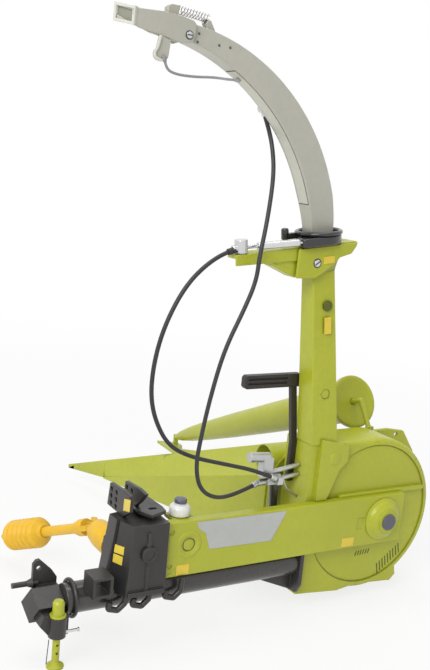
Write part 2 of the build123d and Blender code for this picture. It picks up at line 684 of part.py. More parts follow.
def make_hose_hooks():
    """Bent rods under the beam that the folded hoses hang in."""
    hooks = []
    for x, top, drop in hose_hooks:
        low = top - drop
        points = ((x + 1.9, -0.4, top), (x + 1.6, -0.4, low + 1.0), (x + 0.4, -0.4, low), (x - 1.3, -0.4, low + 0.5),
                  (x - 1.0, -0.4, low + 1.6))
        path = FilletPolyline(*points, radius=0.3)
        section = Plane(origin=path @ 0, z_dir=path % 0) * Circle(0.5)
        hooks.append(sweep(section, path=path))
    return hooks


def make_bottle():
    frame = Plane(origin=(3.75, 3.2, belt_top + seat), z_dir=(0, 0, 1))
    bottle = turned(frame, ((1.55, 0), (1.7, 0.15), (1.7, 0.9), (1.2, 1.25), (0.75, 1.35), (0.75, 1.55)))
    cap = turned(frame.offset(1.55), ((1.0, 0), (1.0, 1.25), (0.85, 1.4)))
    shelf = block((1.8, belt_depth + seat, belt_top - 0.7), (5.8, 5.0, belt_top))
    return bottle, cap, shelf


# Drive shaft


def shaft_frame():
    """Plane at the universal joint's centre with z along the shaft and x along its own pin."""
    yaw, drop = radians(shaft_yaw), radians(shaft_drop)
    along = (-sin(yaw) * cos(drop), cos(yaw) * cos(drop), -sin(drop))
    return Plane(origin=(shaft_x, shaft_y, shaft_z), x_dir=(cos(yaw), sin(yaw), 0), z_dir=along)


def yoke(frame, reach, hub_length):
    """Fork on the far side of the joint along the frame's z, its pin along the frame's x."""
    body = frame.offset(reach) * Cylinder(yoke_radius + 0.2, hub_length, align=(Align.CENTER, Align.CENTER, Align.MIN))
    for side in (-1, 1):
        x = side * ear_offset
        ear = Pos(x, 0, reach / 2 + 0.1) * Box(ear_thick, 1.0, reach + 0.2)
        tip = Pos(x, 0, 0) * Rot(0, 90, 0) * Cylinder(0.6, ear_thick)
        hole = Pos(x, 0, 0) * Rot(0, 90, 0) * Cylinder(cross_pin_radius + running, 2)
        body += frame * (ear + tip - hole)
    return body


def make_drive_yoke():
    """Fork on the gear case's shaft, with its pin upright."""
    frame = Plane(origin=(shaft_x, shaft_y, shaft_z), x_dir=(0, 0, 1), z_dir=(0, -1, 0))
    fork = yoke(frame, 1.9, 1.0)
    return fork + rod((shaft_x, shaft_y - 2.5, shaft_z), (shaft_x, case_front - 0.4, shaft_z), 0.8)


def make_cross():
    frame = shaft_frame()
    body = Plane(origin=(shaft_x, shaft_y, shaft_z), x_dir=(cos(radians(shaft_yaw)), sin(radians(shaft_yaw)), 0),
                 z_dir=(0, 0, 1)) * Box(1.3, 1.3, 1.3)
    pin = ear_offset + ear_thick / 2
    body += rod((shaft_x, shaft_y, shaft_z - pin), (shaft_x, shaft_y, shaft_z + pin), cross_pin_radius)
    ends = [tuple(frame.from_local_coords(Vector(side * pin, 0, 0))) for side in (-1, 1)]
    return body + rod(ends[0], ends[1], cross_pin_radius)


def make_shaft():
    frame = shaft_frame()
    fork = yoke(frame, 1.9, 1.6)
    neck = turned(frame.offset(3.4), ((1.55, 0), (1.2, 1.2), (shaft_radius, 1.5), (shaft_radius, 10.6)))
    return fork + neck


def make_shaft_bell():
    """Ribbed guard at the tractor end, with the nose that plugs into the tractor."""
    frame = shaft_frame()
    start = 14.05
    profile = [(1.3, 0), (1.5, 0.5), (2.5, 1.1), (bell_radius, 1.9)]
    for rib in range(5):
        step = 2.3 + 1.5 * rib
        profile += [(bell_radius - 0.35, step), (bell_radius - 0.35, step + 0.45), (bell_radius, step + 0.75),
                    (bell_radius, step + 1.1)]
    profile += [(bell_radius - 0.2, 9.8), (1.3, 9.8), (1.15, 11.0), (0.9, 12.6), (0.35, shaft_length - start)]
    return turned(frame.offset(start), profile)


def make_shaft_guard():
    """Fixed bell over the gear case's output, open towards the joint."""
    start = case_front + 0.9 + seat
    length = 15.6 - start
    frame = Plane(origin=(shaft_x, start, shaft_z), z_dir=(0, 1, 0))
    rib, groove = guard_radius, guard_radius - 0.3
    profile = ((rib - 0.1, 0), (rib, 0.5), (groove, 0.9), (rib, 1.4), (groove, 1.9), (rib, 2.5), (rib, length - 2.0),
               (rib - 0.6, length))
    outer = turned(frame, profile)
    inner = turned(frame, ((1.0, -0.1), (1.0, 0.5), (rib - 0.6, 0.9), (rib - 0.45, length - 2.1),
                           (rib - 0.95, length + 0.1)))
    return outer - inner


# Valve and side arm


def make_valve():
    """Control valve with its cylinder, two bright rails to the housing and the fittings of both hoses."""
    y = chute_y + 1.05
    body = rod((18.0, y, 29.9), (22.2, y, 29.6), 0.9)
    body += block((20.7, y - 0.9, 26.0), (22.8, y + 0.9, 29.6))
    body += block((22.0, y - 0.9, 24.6), (24.6, y + 0.9, 26.5))
    body += rod((22.0, y, 25.1), (20.3, y, 24.9), 0.6)
    body += block((23.2, y - 2.3, 25.0), (24.3, y - 0.8, 26.3))
    wall = drum_left - seat
    body += rod((22.4, y, 26.6), (wall, y, 27.7), 0.42)
    body += rod((24.4, y, 25.2), (wall, y, 25.9), 0.42)
    # a thin hook below the rails
    hook = FilletPolyline((25.6, y, 25.5), (26.6, y - 0.3, 23.4), (wall, y - 0.3, 21.6), radius=0.5)
    return body + sweep(Plane(origin=hook @ 0, z_dir=hook % 0) * Circle(0.22), path=hook)


def make_valve_boot():
    y = chute_y + 1.05
    return rod((24.0, y, 24.6 - seat), (24.3, y, 20.0), 0.9, 0.75)


def make_side_arm():
    """Black flat bar up beside the chute, with a slotted arm across its top."""
    front = chute_base[1] / 2 + 0.2
    upright = chute_box((-3.95, front, 0), (-2.7, front + 0.9, 10.5))
    y = chute_y + front
    arm = prism(((16.4, 42.4), (16.4, 44.0), (16.8, 44.4), (28.2, 44.5), (28.2, 42.1), (16.8, 42.0)), y - 0.2, y + 1.2)
    for z in (42.75, 43.55):
        arm -= block((17.1, y - 0.3, z), (25.4, y + 0.15, z + 0.35))
    foot = block((drum_left - 1.3, y, 24.0), (drum_left, y + 0.9, drum_top))
    return upright + arm + foot


# Crop header


def sheet_section(y, outline):
    """Cross-section of the left divider's sheet at one y, from x and z pairs."""
    return Plane.XZ * Pos(0, 0, -y) * make_face(Polyline(*outline, close=True))


def make_left_divider():
    """Folded sheet: a side wall, a slanted top strip and an inner wall, narrowing to the tip."""
    t = divider_sheet
    tail_y, wall_end_y, tip_y = plate_front + seat, 66.0, ridge_tip[1]
    left, inner, h = throat_left - 7.9, throat_left, hub_height
    tail = ((left, h - 7.5), (left, h + 6.7), (inner - 1, h + 13.0), (inner, h + 12.6), (inner, h + 7.6),
            (inner - t, h + 7.6), (inner - t, h + 12.1), (inner - 0.9, h + 12.3), (left + t, h + 6.45),
            (left + t, h - 7.5))
    end = ((18.7, 4.7), (18.7, 5.1), (18.9, 9.2), (19.6, 9.0), (19.9, 4.9), (19.9 - 0.3, 4.9), (19.35, 8.5),
           (19.15, 8.6), (18.7 + 0.35, 5.1), (18.7 + 0.35, 4.7))
    body = loft([sheet_section(tail_y, tail), sheet_section(wall_end_y, end)], ruled=True)
    x, _, z = ridge_tip
    nose_tail = ((18.7, 4.9), (18.9, 9.2), (19.6, 9.0), (19.9, 4.9))
    nose_tip = ((x, z - 0.9), (x, z), (x + 0.4, z), (x + 0.4, z - 0.9))
    nose = loft([sheet_section(wall_end_y, nose_tail), sheet_section(tip_y, nose_tip)], ruled=True)
    notch = rod((20, tail_y + 3.0, h + 8.7), (inner - 0.8, tail_y + 3.0, h + 8.7), 2.7)
    return body + nose - notch


def make_cone():
    """Right divider: a long cone with a dished round end, hung on a pin at each end."""
    start, end = Vector(*cone_tail), Vector(*cone_nose)
    along = end - start
    frame = Plane(origin=cone_tail, z_dir=along)
    length = along.length
    profile = ((cone_radius - 0.5, 0), (cone_radius, 0.15), (cone_radius, 0.9), (cone_radius - 0.35, 1.4),
               (cone_tip_radius, length))
    body = turned(frame, profile)
    dish = turned(frame, ((cone_radius - 0.8, -1.0), (cone_radius - 0.8, 0.05), (2.2, 0.45), (1.3, 0.45)))
    body -= dish
    body -= frame.offset(-1) * Cylinder(0.55 + running, 5, align=(Align.CENTER, Align.CENTER, Align.MIN))
    body -= frame.offset(length - 2.5) * Cylinder(0.3 + running, 4, align=(Align.CENTER, Align.CENTER, Align.MIN))
    return body


def cone_axis():
    start, end = Vector(*cone_tail), Vector(*cone_nose)
    return start, (end - start).normalized(), (end - start).length


def make_cone_arm():
    """Bent bar from the top of the housing's front plate to the cone's rear pin."""
    start, along, _ = cone_axis()
    back = start - along * 1.5
    foot = (back.X + 0.9, plate_front - 0.35, front_plate_top + seat)
    elbow = (back.X + 0.2, back.Y - 0.4, back.Z + 0.3)
    path = FilletPolyline(tuple(start - along * 0.4), tuple(back), elbow, foot, radius=0.25)
    section = Plane(origin=path @ 0, z_dir=path % 0) * Circle(0.5)
    bar = sweep(section, path=path)
    pin = rod(tuple(start - along * 0.5), tuple(start + along * 3.2), 0.55)
    pad = block((foot[0] - 0.8, drum_front + 0.1, foot[2]), (foot[0] + 0.8, plate_front, foot[2] + 0.6))
    return bar + pin + pad


def make_right_side():
    """Sheet under the cone, with the nose shoe that carries the cone's front pin."""
    x, sheet = 46.6, divider_sheet
    nose_y, nose_z = cone_nose[1], cone_nose[2]
    wall = slab(((plate_front + seat, 5.0), (plate_front + seat, throat_high + 0.5), (40.0, 15.5), (nose_y - 4, 4.3),
                 (nose_y - 4, 3.2), (34.0, 3.2)), x, x + sheet)
    start, along, length = cone_axis()
    tip = start + along * length
    outer = cone_nose[0] + 1.4
    plan = ((x, nose_y - 10), (x + 0.4, nose_y + 4.6), (outer, nose_y + 1.6), (outer, nose_y - 1),
            (x + sheet, nose_y - 10))
    shoe = extrude(Pos(0, 0, 3.0) * make_face(Polyline(*plan, close=True)), amount=0.7)
    post_low = (tip + along * 0.7)
    post = block((cone_nose[0] - 0.4, post_low.Y - 0.3, 3.2), (cone_nose[0] + 0.8, post_low.Y + 0.4, nose_z + 0.5))
    pin = rod(tuple((tip + along * 0.6)), tuple((tip - along * 2.2)), 0.3)
    return wall + shoe + post + pin


def make_pan():
    """Floor of the header with a low left side under the divider's wall."""
    left, right, rear = 26.2, 46.6 - seat, plate_front + seat
    low, front = pan_rear, pan_front
    floor = slab(((rear, low), (rear, low + 0.5), (34.0, front), (36.0, front), (36.0, front - 0.5)), left, right)
    side = slab(((rear, low + 0.2), (rear, hub_height - 7.5 - 2 * seat), (30.0, 8.0), (34.0, front + 0.1),
                 (30.0, front + 0.4)), left, left + divider_sheet)
    return floor + side


def make_skids():
    """Runner plates under the pan; the right one reaches back under the housing."""
    housing_low = hub_height - drum_radius - seat

    def floor_z(y):
        return pan_rear - (y - plate_front) * (pan_rear - pan_front + 0.5) / (36.0 - plate_front) - seat
    front = ((33.0, 0), (36.6, 2.2), (35.6, pan_front - 0.6 - seat))
    left = slab(((22.0, 0),) + front + ((plate_front + 4.0, floor_z(plate_front + 4.0)), (plate_front + 4.0, 5.0)),
                30.0, 31.4)
    back = drum_rear + 7.0
    right = slab(((back + 0.6, 0),) + front + ((plate_front + seat, floor_z(plate_front + seat)),
                 (plate_front + seat, housing_low), (back, housing_low), (back, 0.6)), 44.4, 45.8)
    return left, right


def make_feed_rolls():
    """Two ribbed rolls that draw the crop in through the throat."""
    rolls = []
    left, right, y = throat_left, throat_right, plate_front + 3.0
    for z in (hub_height - 4.0, hub_height + 3.3):
        roll = rod((left + 0.3, y, z), (right - 0.3, y, z), 2.2)
        for step in range(8):
            turn = Plane(origin=((left + right) / 2, y, z), z_dir=(1, 0, 0)).rotated((0, 0, 45 * step))
            roll += turn * (Pos(2.35, 0, 0) * Box(0.9, 0.4, right - left - 1.0))
        roll += rod((left + seat, y, z), (right - seat, y, z), 0.6)
        rolls.append(roll)
    return rolls


def make_intake_sides():
    """Side plates of the throat that carry the feed rolls."""
    rear, low, high = plate_front + seat, throat_low - 0.7, throat_high + 0.1
    outline = ((rear, low), (rear, high), (rear + 4.0, high - 1.6), (rear + 6.6, high - 3.1), (rear + 6.6, low + 2.7),
               (rear + 4.6, low))
    thick = divider_sheet + seat
    return slab(outline, throat_left - thick, throat_left), slab(outline, throat_right, throat_right + thick)


# Cords: chosen points, straight runs and arcs


def long_hose_points():
    return [hose_start, (15.9, 6.35, 86.3), (16.3, 5.2, 83.2), (15.8, 3.3, 78.9), (13.9, 1.0, 72.0), (12.5, 0.1, 66.0),
            (12.2, -0.1, 62.0), (10.6, -0.2, 57.4), (7.6, -0.2, 50.6), (5.6, -0.2, 42.0), (4.6, -0.1, 35.0),
            (4.3, 0.0, 29.6), (7.0, 0.4, 24.6), (14.0, 2.6, 23.8), (20.25, 5.0, 24.88)]


def short_hose_points():
    port, out = barrel_port()
    start = port + out * 1.9
    return [tuple(start), tuple(start + out * 1.7), (3.8, 1.9, 64.15), (0.9, 1.8, 61.4), (-1.3, 2.0, 57.6),
            (-3.05, 2.3, 52.7), (-3.9, 2.5, 47.5), (-3.85, 2.6, 42.6), (-2.6, 2.5, 38.4), (0.1, 2.4, 34.2),
            (4.8, 2.6, 31.8), (11.8, 2.8, 29.9), (18.4, 3.0, 28.1), (23.0, 3.25, 26.0)]


def cable_points():
    x, z = flap_pivot
    beside = flap_side_face() - flap_wall - cable_radius - seat
    return [(x - 4.1, beside, z - 3.7), (x - 3.8, beside, z - 5.3), (x - 2.2, beside, z - 6.0),
            (x + 1.6, beside + 0.6, z - 5.9), (x + 5.4, chute_y - 1.0, z - 5.4), (x + 8.6, chute_y - 0.1, z - 5.3),
            (x + 10.9, chute_y, curve_z(spout_inner, x + 10.9) - 0.2)]


def barrel_port():
    """Middle of the pivot barrel and the direction in which its hose leaves."""
    frame, _ = cylinder_frame()
    middle = frame.offset(cylinder_rise)
    out = (middle.from_local_coords(Vector(-0.97, -0.2, -0.17)) - middle.origin).normalized()
    return middle.origin, out


def make_nipple():
    """Round fitting on the spout's far side, with the nipple that the long hose is pushed on."""
    x, y, z = nipple_centre
    face = chute_y + spout_width / 2 + seat
    return rod((x, face, z), (x, y + 0.65, z), 0.65) + rod(nipple_centre, hose_start, 0.5)


def spring_ends():
    """Where the spring hooks on: at the flap's post and at the spout's post."""
    x, z = flap_pivot
    return Vector(x - 0.8, chute_y, z + 3.85), Vector(x + 4.1, chute_y, z + 2.85)


def make_spring_posts():
    """Posts for the flap's spring: the first on the flap, the second on the spout."""
    at_flap, at_spout = spring_ends()
    low, high = flap_pivot[1] + 2.3, at_flap.Z + 0.2
    near, far = chute_y - spring_post_y, chute_y + spring_post_y
    flap_post = prism(((at_flap.X - 2.1, low), (at_flap.X - 2.1, high - 0.4), (at_flap.X - 1.5, high),
                       (at_flap.X, high), (at_flap.X - 0.4, low + 0.1)), near, far)
    low, high = curve_z(spout_outer, at_spout.X + 1.6) - 0.1, at_spout.Z + 0.3
    spout_post = prism(((at_spout.X, low), (at_spout.X, high), (at_spout.X + 1.0, high), (at_spout.X + 1.6, low)),
                       near, far)
    # round seat for the loop at the spring's lower end
    eye = (at_spout.X, near - 1, at_spout.Z), (at_spout.X, far + 1, at_spout.Z)
    return flap_post, spout_post - rod(*eye, spring_loop + running)


def make_spring():
    """The coil as one tube of its outer shape on its wire, with the loop at its lower end."""
    at_flap, at_spout = spring_ends()
    along = (at_flap - at_spout).normalized()
    start, end = tuple(at_spout + along * 0.75), tuple(at_flap - along * 0.4)
    coil = rod(start, end, spring_radius) - rod(tuple(at_spout + along * 0.95), end, spring_radius - 2 * spring_wire)
    loop = rod((at_spout.X, chute_y - 0.5, at_spout.Z), (at_spout.X, chute_y + 0.5, at_spout.Z), spring_loop)
    return coil + loop + rod(tuple(at_spout), tuple(at_flap - along * seat), 1.25 * spring_wire)


# All pieces


top_plate_near, top_plate_far = make_top_plates()
oil_bottle, bottle_cap, bottle_shelf = make_bottle()
post_on_flap, post_on_spout = make_spring_posts()
pivot_near, pivot_far = make_flap_pivots()
skid_left, skid_right = make_skids()

pieces = {
    "housing_drum": make_housing(),
    "housing_cover": make_cover(),
    "front_plate": make_front_plate(),
    "belt_case": make_belt_case(),
    "hub_boss": make_hub_boss(),
    "hub_cap": make_hub_cap(),
    "chute": make_chute(),
    "top_bracket": make_bracket(),
    "bracket_screw": make_bracket_screw(),
    "cylinder_post": make_post(),
    "swivel_ring": make_ring(),
    "cylinder_barrel": make_barrel(),
    "cylinder_rod": make_rod(),
    "spout": make_spout() + post_on_spout,
    "spout_nipple": make_nipple(),
    "flap_pivots": Compound([pivot_near, pivot_far]),
    "flap": make_flap() + post_on_flap,
    "flap_lever": make_lever(),
    "flap_spring": make_spring(),
    "beam": make_beam(),
    "beam_flange": make_beam_end(),
    "hitch_box": make_hitch_box(),
    "lower_hitch_right": make_right_hitch(),
    "stand_leg": make_leg(),
    "stand_pin": make_stand_pin(),
    "headstock": make_headstock(),
    "top_link_plates": Compound([top_plate_near, top_plate_far]),
    "draw_plate": make_draw_plate(),
    "stub_tube": make_stub_tube(),
    "beam_hoop": make_hoop(),
    "hose_hooks": Compound(make_hose_hooks()),
    "oil_bottle": oil_bottle,
    "bottle_cap": bottle_cap,
    "bottle_shelf": bottle_shelf,
    "drive_yoke": make_drive_yoke(),
    "joint_cross": make_cross(),
    "drive_shaft": make_shaft(),
    "shaft_bell": make_shaft_bell(),
    "shaft_guard": make_shaft_guard(),
    "valve": make_valve(),
    "valve_boot": make_valve_boot(),
    "side_arm": make_side_arm(),
    "left_divider": make_left_divider(),
    "cone_divider": make_cone(),
    "cone_arm": make_cone_arm(),
    "right_side": make_right_side(),
    "header_pan": make_pan(),
    "skids": Compound([skid_left, skid_right]),
    "feed_rolls": Compound(make_feed_rolls()),
    "intake_sides": Compound(list(make_intake_sides())),
}
cords = {
    "long_hose": bent_tube(long_hose_points(), hose_radius, "long_hose"),
    "short_hose": bent_tube(short_hose_points(), hose_radius, "short_hose"),
    "flap_cable": bent_tube(cable_points(), cable_radius, "flap_cable"),
}

box = Compound(list(pieces.values())).bounding_box()
middle = Vector((box.min.X + box.max.X) / 2, (box.min.Y + box.max.Y) / 2, 0)
print("box", box.min, box.max, "origin at", middle)

os.makedirs("parts", exist_ok=True)
for name, shape in {**pieces, **cords}.items():
    export_step(Pos(-middle.X, -middle.Y, 0) * shape, f"parts/{name}.step")


def place(point):
    """A point in metres from the shared origin."""
    moved = Vector(*point) - middle
    return [round(c / 1000, 6) for c in tuple(moved)]


ring_centre = at_chute(0, 0, bracket_w)
post_foot = cylinder_frame()[0].origin
cone_start, cone_along, _ = cone_axis()
rod_frame = cylinder_frame()[0]
print("swivel", place(tuple(ring_centre)), chute_frame.z_dir)
print("cylinder post", place(tuple(post_foot)), "along", rod_frame.x_dir)
print("flap pivot", place((flap_pivot[0], chute_y, flap_pivot[1])))
hook_end, spring_end = spring_ends()
print("spring from", place(tuple(spring_end)), "along", (hook_end - spring_end).normalized())
print("stand", place((leg_x, 0, sleeve_bottom)))
print("shaft joint", place((shaft_x, shaft_y, shaft_z)), "pin", shaft_frame().x_dir, "along", shaft_frame().z_dir)
print("cone", place(tuple(cone_start)), cone_along)
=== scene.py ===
import json
import math

import bmesh
import bpy
from mathutils import Matrix, Vector

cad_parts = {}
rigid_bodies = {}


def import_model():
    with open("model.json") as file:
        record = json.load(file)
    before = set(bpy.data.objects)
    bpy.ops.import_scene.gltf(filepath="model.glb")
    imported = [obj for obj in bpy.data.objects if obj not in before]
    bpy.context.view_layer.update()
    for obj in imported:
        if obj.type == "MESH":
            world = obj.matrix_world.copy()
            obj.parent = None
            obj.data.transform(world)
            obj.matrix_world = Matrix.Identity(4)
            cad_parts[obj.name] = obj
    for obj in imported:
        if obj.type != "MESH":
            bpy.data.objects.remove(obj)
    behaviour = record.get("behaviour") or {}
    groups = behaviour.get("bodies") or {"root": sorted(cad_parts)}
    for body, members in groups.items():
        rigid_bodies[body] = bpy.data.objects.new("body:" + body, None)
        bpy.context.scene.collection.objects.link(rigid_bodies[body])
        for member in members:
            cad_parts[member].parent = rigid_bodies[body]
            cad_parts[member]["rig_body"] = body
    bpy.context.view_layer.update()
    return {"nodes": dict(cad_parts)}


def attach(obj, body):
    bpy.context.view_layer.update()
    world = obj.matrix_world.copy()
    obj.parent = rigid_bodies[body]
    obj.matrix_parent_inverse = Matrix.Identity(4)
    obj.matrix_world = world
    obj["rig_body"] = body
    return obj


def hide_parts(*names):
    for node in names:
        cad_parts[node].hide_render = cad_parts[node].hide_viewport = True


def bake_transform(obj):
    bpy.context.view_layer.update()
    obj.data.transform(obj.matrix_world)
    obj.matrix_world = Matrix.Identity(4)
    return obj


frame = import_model()
print("frame loaded,", len(frame["nodes"]), "nodes")

# points below are in the part's own working millimetres: x from the belt case's left end,
# y forward from its rear face, z above the floor
originX, originY = 18.825, 45.275


def place(x, y, z):
    return Vector(((x - originX) / 1000, (y - originY) / 1000, z / 1000))


def mm(value):
    return value / 1000


# camera: stands left behind the machine, a little tilted
cameraLook = {
    "position": (-0.089225, -0.168675, 0.0794),
    "right": (0.85691, -0.50690, 0.09356),
    "up": (0.02019, 0.21438, 0.97654),
    "back": (-0.51507, -0.83492, 0.19394),
    "lens": 49.45,
    "shiftX": -0.0003,
    "shiftY": 0.0218,
}


def makeCamera(look):
    data = bpy.data.cameras.new("studioCamera")
    data.sensor_fit = "VERTICAL"
    data.sensor_height = 36
    data.lens = look["lens"]
    data.shift_x, data.shift_y = look["shiftX"], look["shiftY"]
    data.clip_start, data.clip_end = 0.005, 20
    camera = bpy.data.objects.new("studioCamera", data)
    bpy.context.scene.collection.objects.link(camera)
    axes = Matrix((look["right"], look["up"], look["back"])).transposed().to_4x4()
    camera.matrix_world = Matrix.Translation(look["position"]) @ axes
    bpy.context.scene.camera = camera


makeCamera(cameraLook)

# node helpers


def addNode(tree, kind, **settings):
    node = tree.nodes.new(kind)
    for key, value in settings.items():
        setattr(node, key, value)
    return node


def feed(tree, source, node, name):
    tree.links.new(source, node.inputs[name])


def calculate(tree, operation, first, second):
    node = addNode(tree, "ShaderNodeMath", operation=operation)
    for index, value in enumerate((first, second)):
        if isinstance(value, (int, float)):
            node.inputs[index].default_value = value
        else:
            tree.links.new(value, node.inputs[index])
    return node.outputs[0]


def noise(tree, coords, scale, detail=3.0, rough=0.55):
    node = addNode(tree, "ShaderNodeTexNoise")
    node.inputs["Scale"].default_value = scale
    node.inputs["Detail"].default_value = detail
    node.inputs["Roughness"].default_value = rough
    feed(tree, coords, node, "Vector")
    return node.outputs["Fac"]


def ranged(tree, value, fromLow, fromHigh, toLow, toHigh):
    node = addNode(tree, "ShaderNodeMapRange")
    feed(tree, value, node, "Value")
    limits = {"From Min": fromLow, "From Max": fromHigh, "To Min": toLow, "To Max": toHigh}
    for name, number in limits.items():
        node.inputs[name].default_value = number
    return node.outputs["Result"]


# the Mix node's colour sockets are 0 for the factor, 6 and 7 for the colours, and 2 for the result
def mixColour(tree, factor, first, second, blend="MIX"):
    node = addNode(tree, "ShaderNodeMix", data_type="RGBA", blend_type=blend)
    for index, value in ((0, factor), (6, first), (7, second)):
        if isinstance(value, (int, float)):
            node.inputs[index].default_value = value
        elif isinstance(value, tuple):
            node.inputs[index].default_value = (*value, 1)
        else:
            tree.links.new(value, node.inputs[index])
    return node.outputs[2]


# finishes: colour, how much it varies, shine, surface grain, edges lightened as wear and as painted
# highlight, and painted shade in crevices; what is left out is 0
finishes = {
    "limePaint": {"colour": (0.46, 0.49, 0.026), "vary": 0.07, "rough": 0.36, "coat": 0.08, "grain": 0.05,
                  "grainSize": 0.45, "edge": (0.72, 0.76, 0.30), "wornAndLitEdges": 0.35, "creviceShade": 0.45},
    "sheetPaint": {"colour": (0.44, 0.475, 0.03), "vary": 0.08, "rough": 0.36, "coat": 0.1, "grain": 0.05,
                   "grainSize": 0.5, "edge": (0.66, 0.70, 0.26), "wornAndLitEdges": 0.35, "creviceShade": 0.5},
    "silverPaint": {"colour": (0.50, 0.49, 0.415), "vary": 0.05, "rough": 0.38, "coat": 0.15, "grain": 0.05,
                    "grainSize": 0.35, "edge": (0.78, 0.78, 0.70), "wornAndLitEdges": 0.5, "creviceShade": 0.4, "metal": 0.08},
    # lighter than the silver paint: partly the panel's own lighter paint, partly painted light reflected up
    # from the floor
    "panelPaintWithBounce": {"colour": (0.62, 0.62, 0.53), "vary": 0.06, "rough": 0.45, "coat": 0.1, "grain": 0.06,
                   "grainSize": 0.3, "edge": (0.70, 0.72, 0.66), "wornAndLitEdges": 0.2, "creviceShade": 0.4, "metal": 0.05},
    "mouthGrey": {"colour": (0.30, 0.31, 0.24), "vary": 0.08, "rough": 0.5, "grain": 0.06,
                  "grainSize": 0.3, "edge": (0.4, 0.4, 0.35), "wornAndLitEdges": 0.2, "creviceShade": 0.5},
    "rimLight": {"colour": (0.72, 0.72, 0.64), "vary": 0.04, "rough": 0.4, "grain": 0.04,
                 "grainSize": 0.3, "edge": (0.85, 0.85, 0.8), "wornAndLitEdges": 0.3, "creviceShade": 0.2},
    "blackPlastic": {"colour": (0.030, 0.027, 0.024), "vary": 0.25, "rough": 0.42, "coat": 0.1, "grain": 0.10,
                     "grainSize": 0.25, "edge": (0.16, 0.16, 0.17), "wornAndLitEdges": 0.5, "creviceShade": 0.2},
    "beamBlack": {"colour": (0.040, 0.037, 0.034), "vary": 0.2, "rough": 0.26, "coat": 0.3, "grain": 0.04,
                  "grainSize": 0.3, "edge": (0.18, 0.17, 0.16), "wornAndLitEdges": 0.4, "creviceShade": 0.2},
    "deepBlack": {"colour": (0.006, 0.006, 0.006), "vary": 0.2, "rough": 0.8, "grain": 0.05,
                  "grainSize": 0.3, "edge": (0.02, 0.02, 0.02)},
    "glossBlack": {"colour": (0.022, 0.021, 0.021), "vary": 0.2, "rough": 0.22, "coat": 0.4, "grain": 0.03,
                   "grainSize": 0.4, "edge": (0.14, 0.14, 0.15), "wornAndLitEdges": 0.4, "creviceShade": 0.2},
    "brownBlack": {"colour": (0.026, 0.021, 0.018), "vary": 0.2, "rough": 0.45, "grain": 0.08,
                   "grainSize": 0.25, "edge": (0.12, 0.10, 0.09), "wornAndLitEdges": 0.4, "creviceShade": 0.2},
    "yellowPlastic": {"colour": (0.84, 0.50, 0.022), "vary": 0.06, "rough": 0.40, "grain": 0.05,
                      "grainSize": 0.3, "edge": (0.92, 0.66, 0.14), "wornAndLitEdges": 0.35, "creviceShade": 0.55},
    "castMetal": {"colour": (0.56, 0.57, 0.56), "vary": 0.12, "rough": 0.36, "grain": 0.10,
                  "grainSize": 0.3, "edge": (0.85, 0.85, 0.85), "wornAndLitEdges": 0.4, "creviceShade": 0.75, "metal": 0.85},
    "brightMetal": {"colour": (0.66, 0.66, 0.67), "vary": 0.10, "rough": 0.24, "grain": 0.06,
                    "grainSize": 0.15, "edge": (0.9, 0.9, 0.9), "wornAndLitEdges": 0.3, "creviceShade": 0.5, "metal": 1.0},
    "springWire": {"colour": (0.66, 0.65, 0.63), "vary": 0.10, "rough": 0.22, "grain": 0.03,
                   "grainSize": 0.15, "edge": (0.85, 0.85, 0.85), "creviceShade": 0.6, "metal": 1.0},
    "whitePlastic": {"colour": (0.84, 0.84, 0.80), "vary": 0.03, "rough": 0.28, "coat": 0.3, "grain": 0.03,
                     "grainSize": 0.4, "edge": (0.92, 0.92, 0.9), "wornAndLitEdges": 0.2, "creviceShade": 0.35},
    "hoseRubber": {"colour": (0.026, 0.026, 0.028), "vary": 0.15, "rough": 0.45, "grain": 0.12,
                   "grainSize": 0.18, "edge": (0.10, 0.10, 0.10)},
    "greyBraid": {"colour": (0.36, 0.36, 0.38), "vary": 0.4, "rough": 0.6, "grain": 0.5,
                  "grainSize": 0.12, "edge": (0.3, 0.3, 0.3)},
    "capGrey": {"colour": (0.11, 0.11, 0.15), "vary": 0.15, "rough": 0.35, "coat": 0.1, "grain": 0.05,
                "grainSize": 0.25, "edge": (0.25, 0.25, 0.3), "wornAndLitEdges": 0.4, "creviceShade": 0.3},
    # dark green of painted shade, for slots and a hole
    "slotShadeGreen": {"colour": (0.10, 0.115, 0.01), "vary": 0.15, "rough": 0.6, "grain": 0.05,
                  "grainSize": 0.3, "edge": (0.2, 0.22, 0.05)},
    "seamDark": {"colour": (0.10, 0.10, 0.09), "vary": 0.2, "rough": 0.7, "grain": 0.1,
                 "grainSize": 0.2, "edge": (0.15, 0.15, 0.14)},
    "foilSilver": {"colour": (0.50, 0.51, 0.49), "vary": 0.04, "rough": 0.35, "coat": 0.1, "grain": 0.04,
                   "grainSize": 0.5, "edge": (0.7, 0.7, 0.7), "wornAndLitEdges": 0.2, "metal": 0.3},
    "foilYellow": {"colour": (0.82, 0.62, 0.05), "vary": 0.04, "rough": 0.35, "coat": 0.2, "grain": 0.03,
                   "grainSize": 0.5, "edge": (0.9, 0.7, 0.2), "wornAndLitEdges": 0.2},
}

# what all finishes share: noise scales per metre, reaches in mm, shades as a share of the colour
surface = {"patchScale": 70, "speckScale": 900, "wearScale": 420, "glossScale": 260, "speckShade": 0.9,
           "cornerRadius": 0.16, "bentFrom": 0.97, "bentTo": 0.78, "creviceShadeReach": 1.4, "creviceShadeTone": 0.35,
           "coatRough": 0.22, "specular": 0.5, "grainDepth": 0.05, "grainGain": 4}


def shaded(colour, share):
    return tuple(min(1.0, part * share) for part in colour)


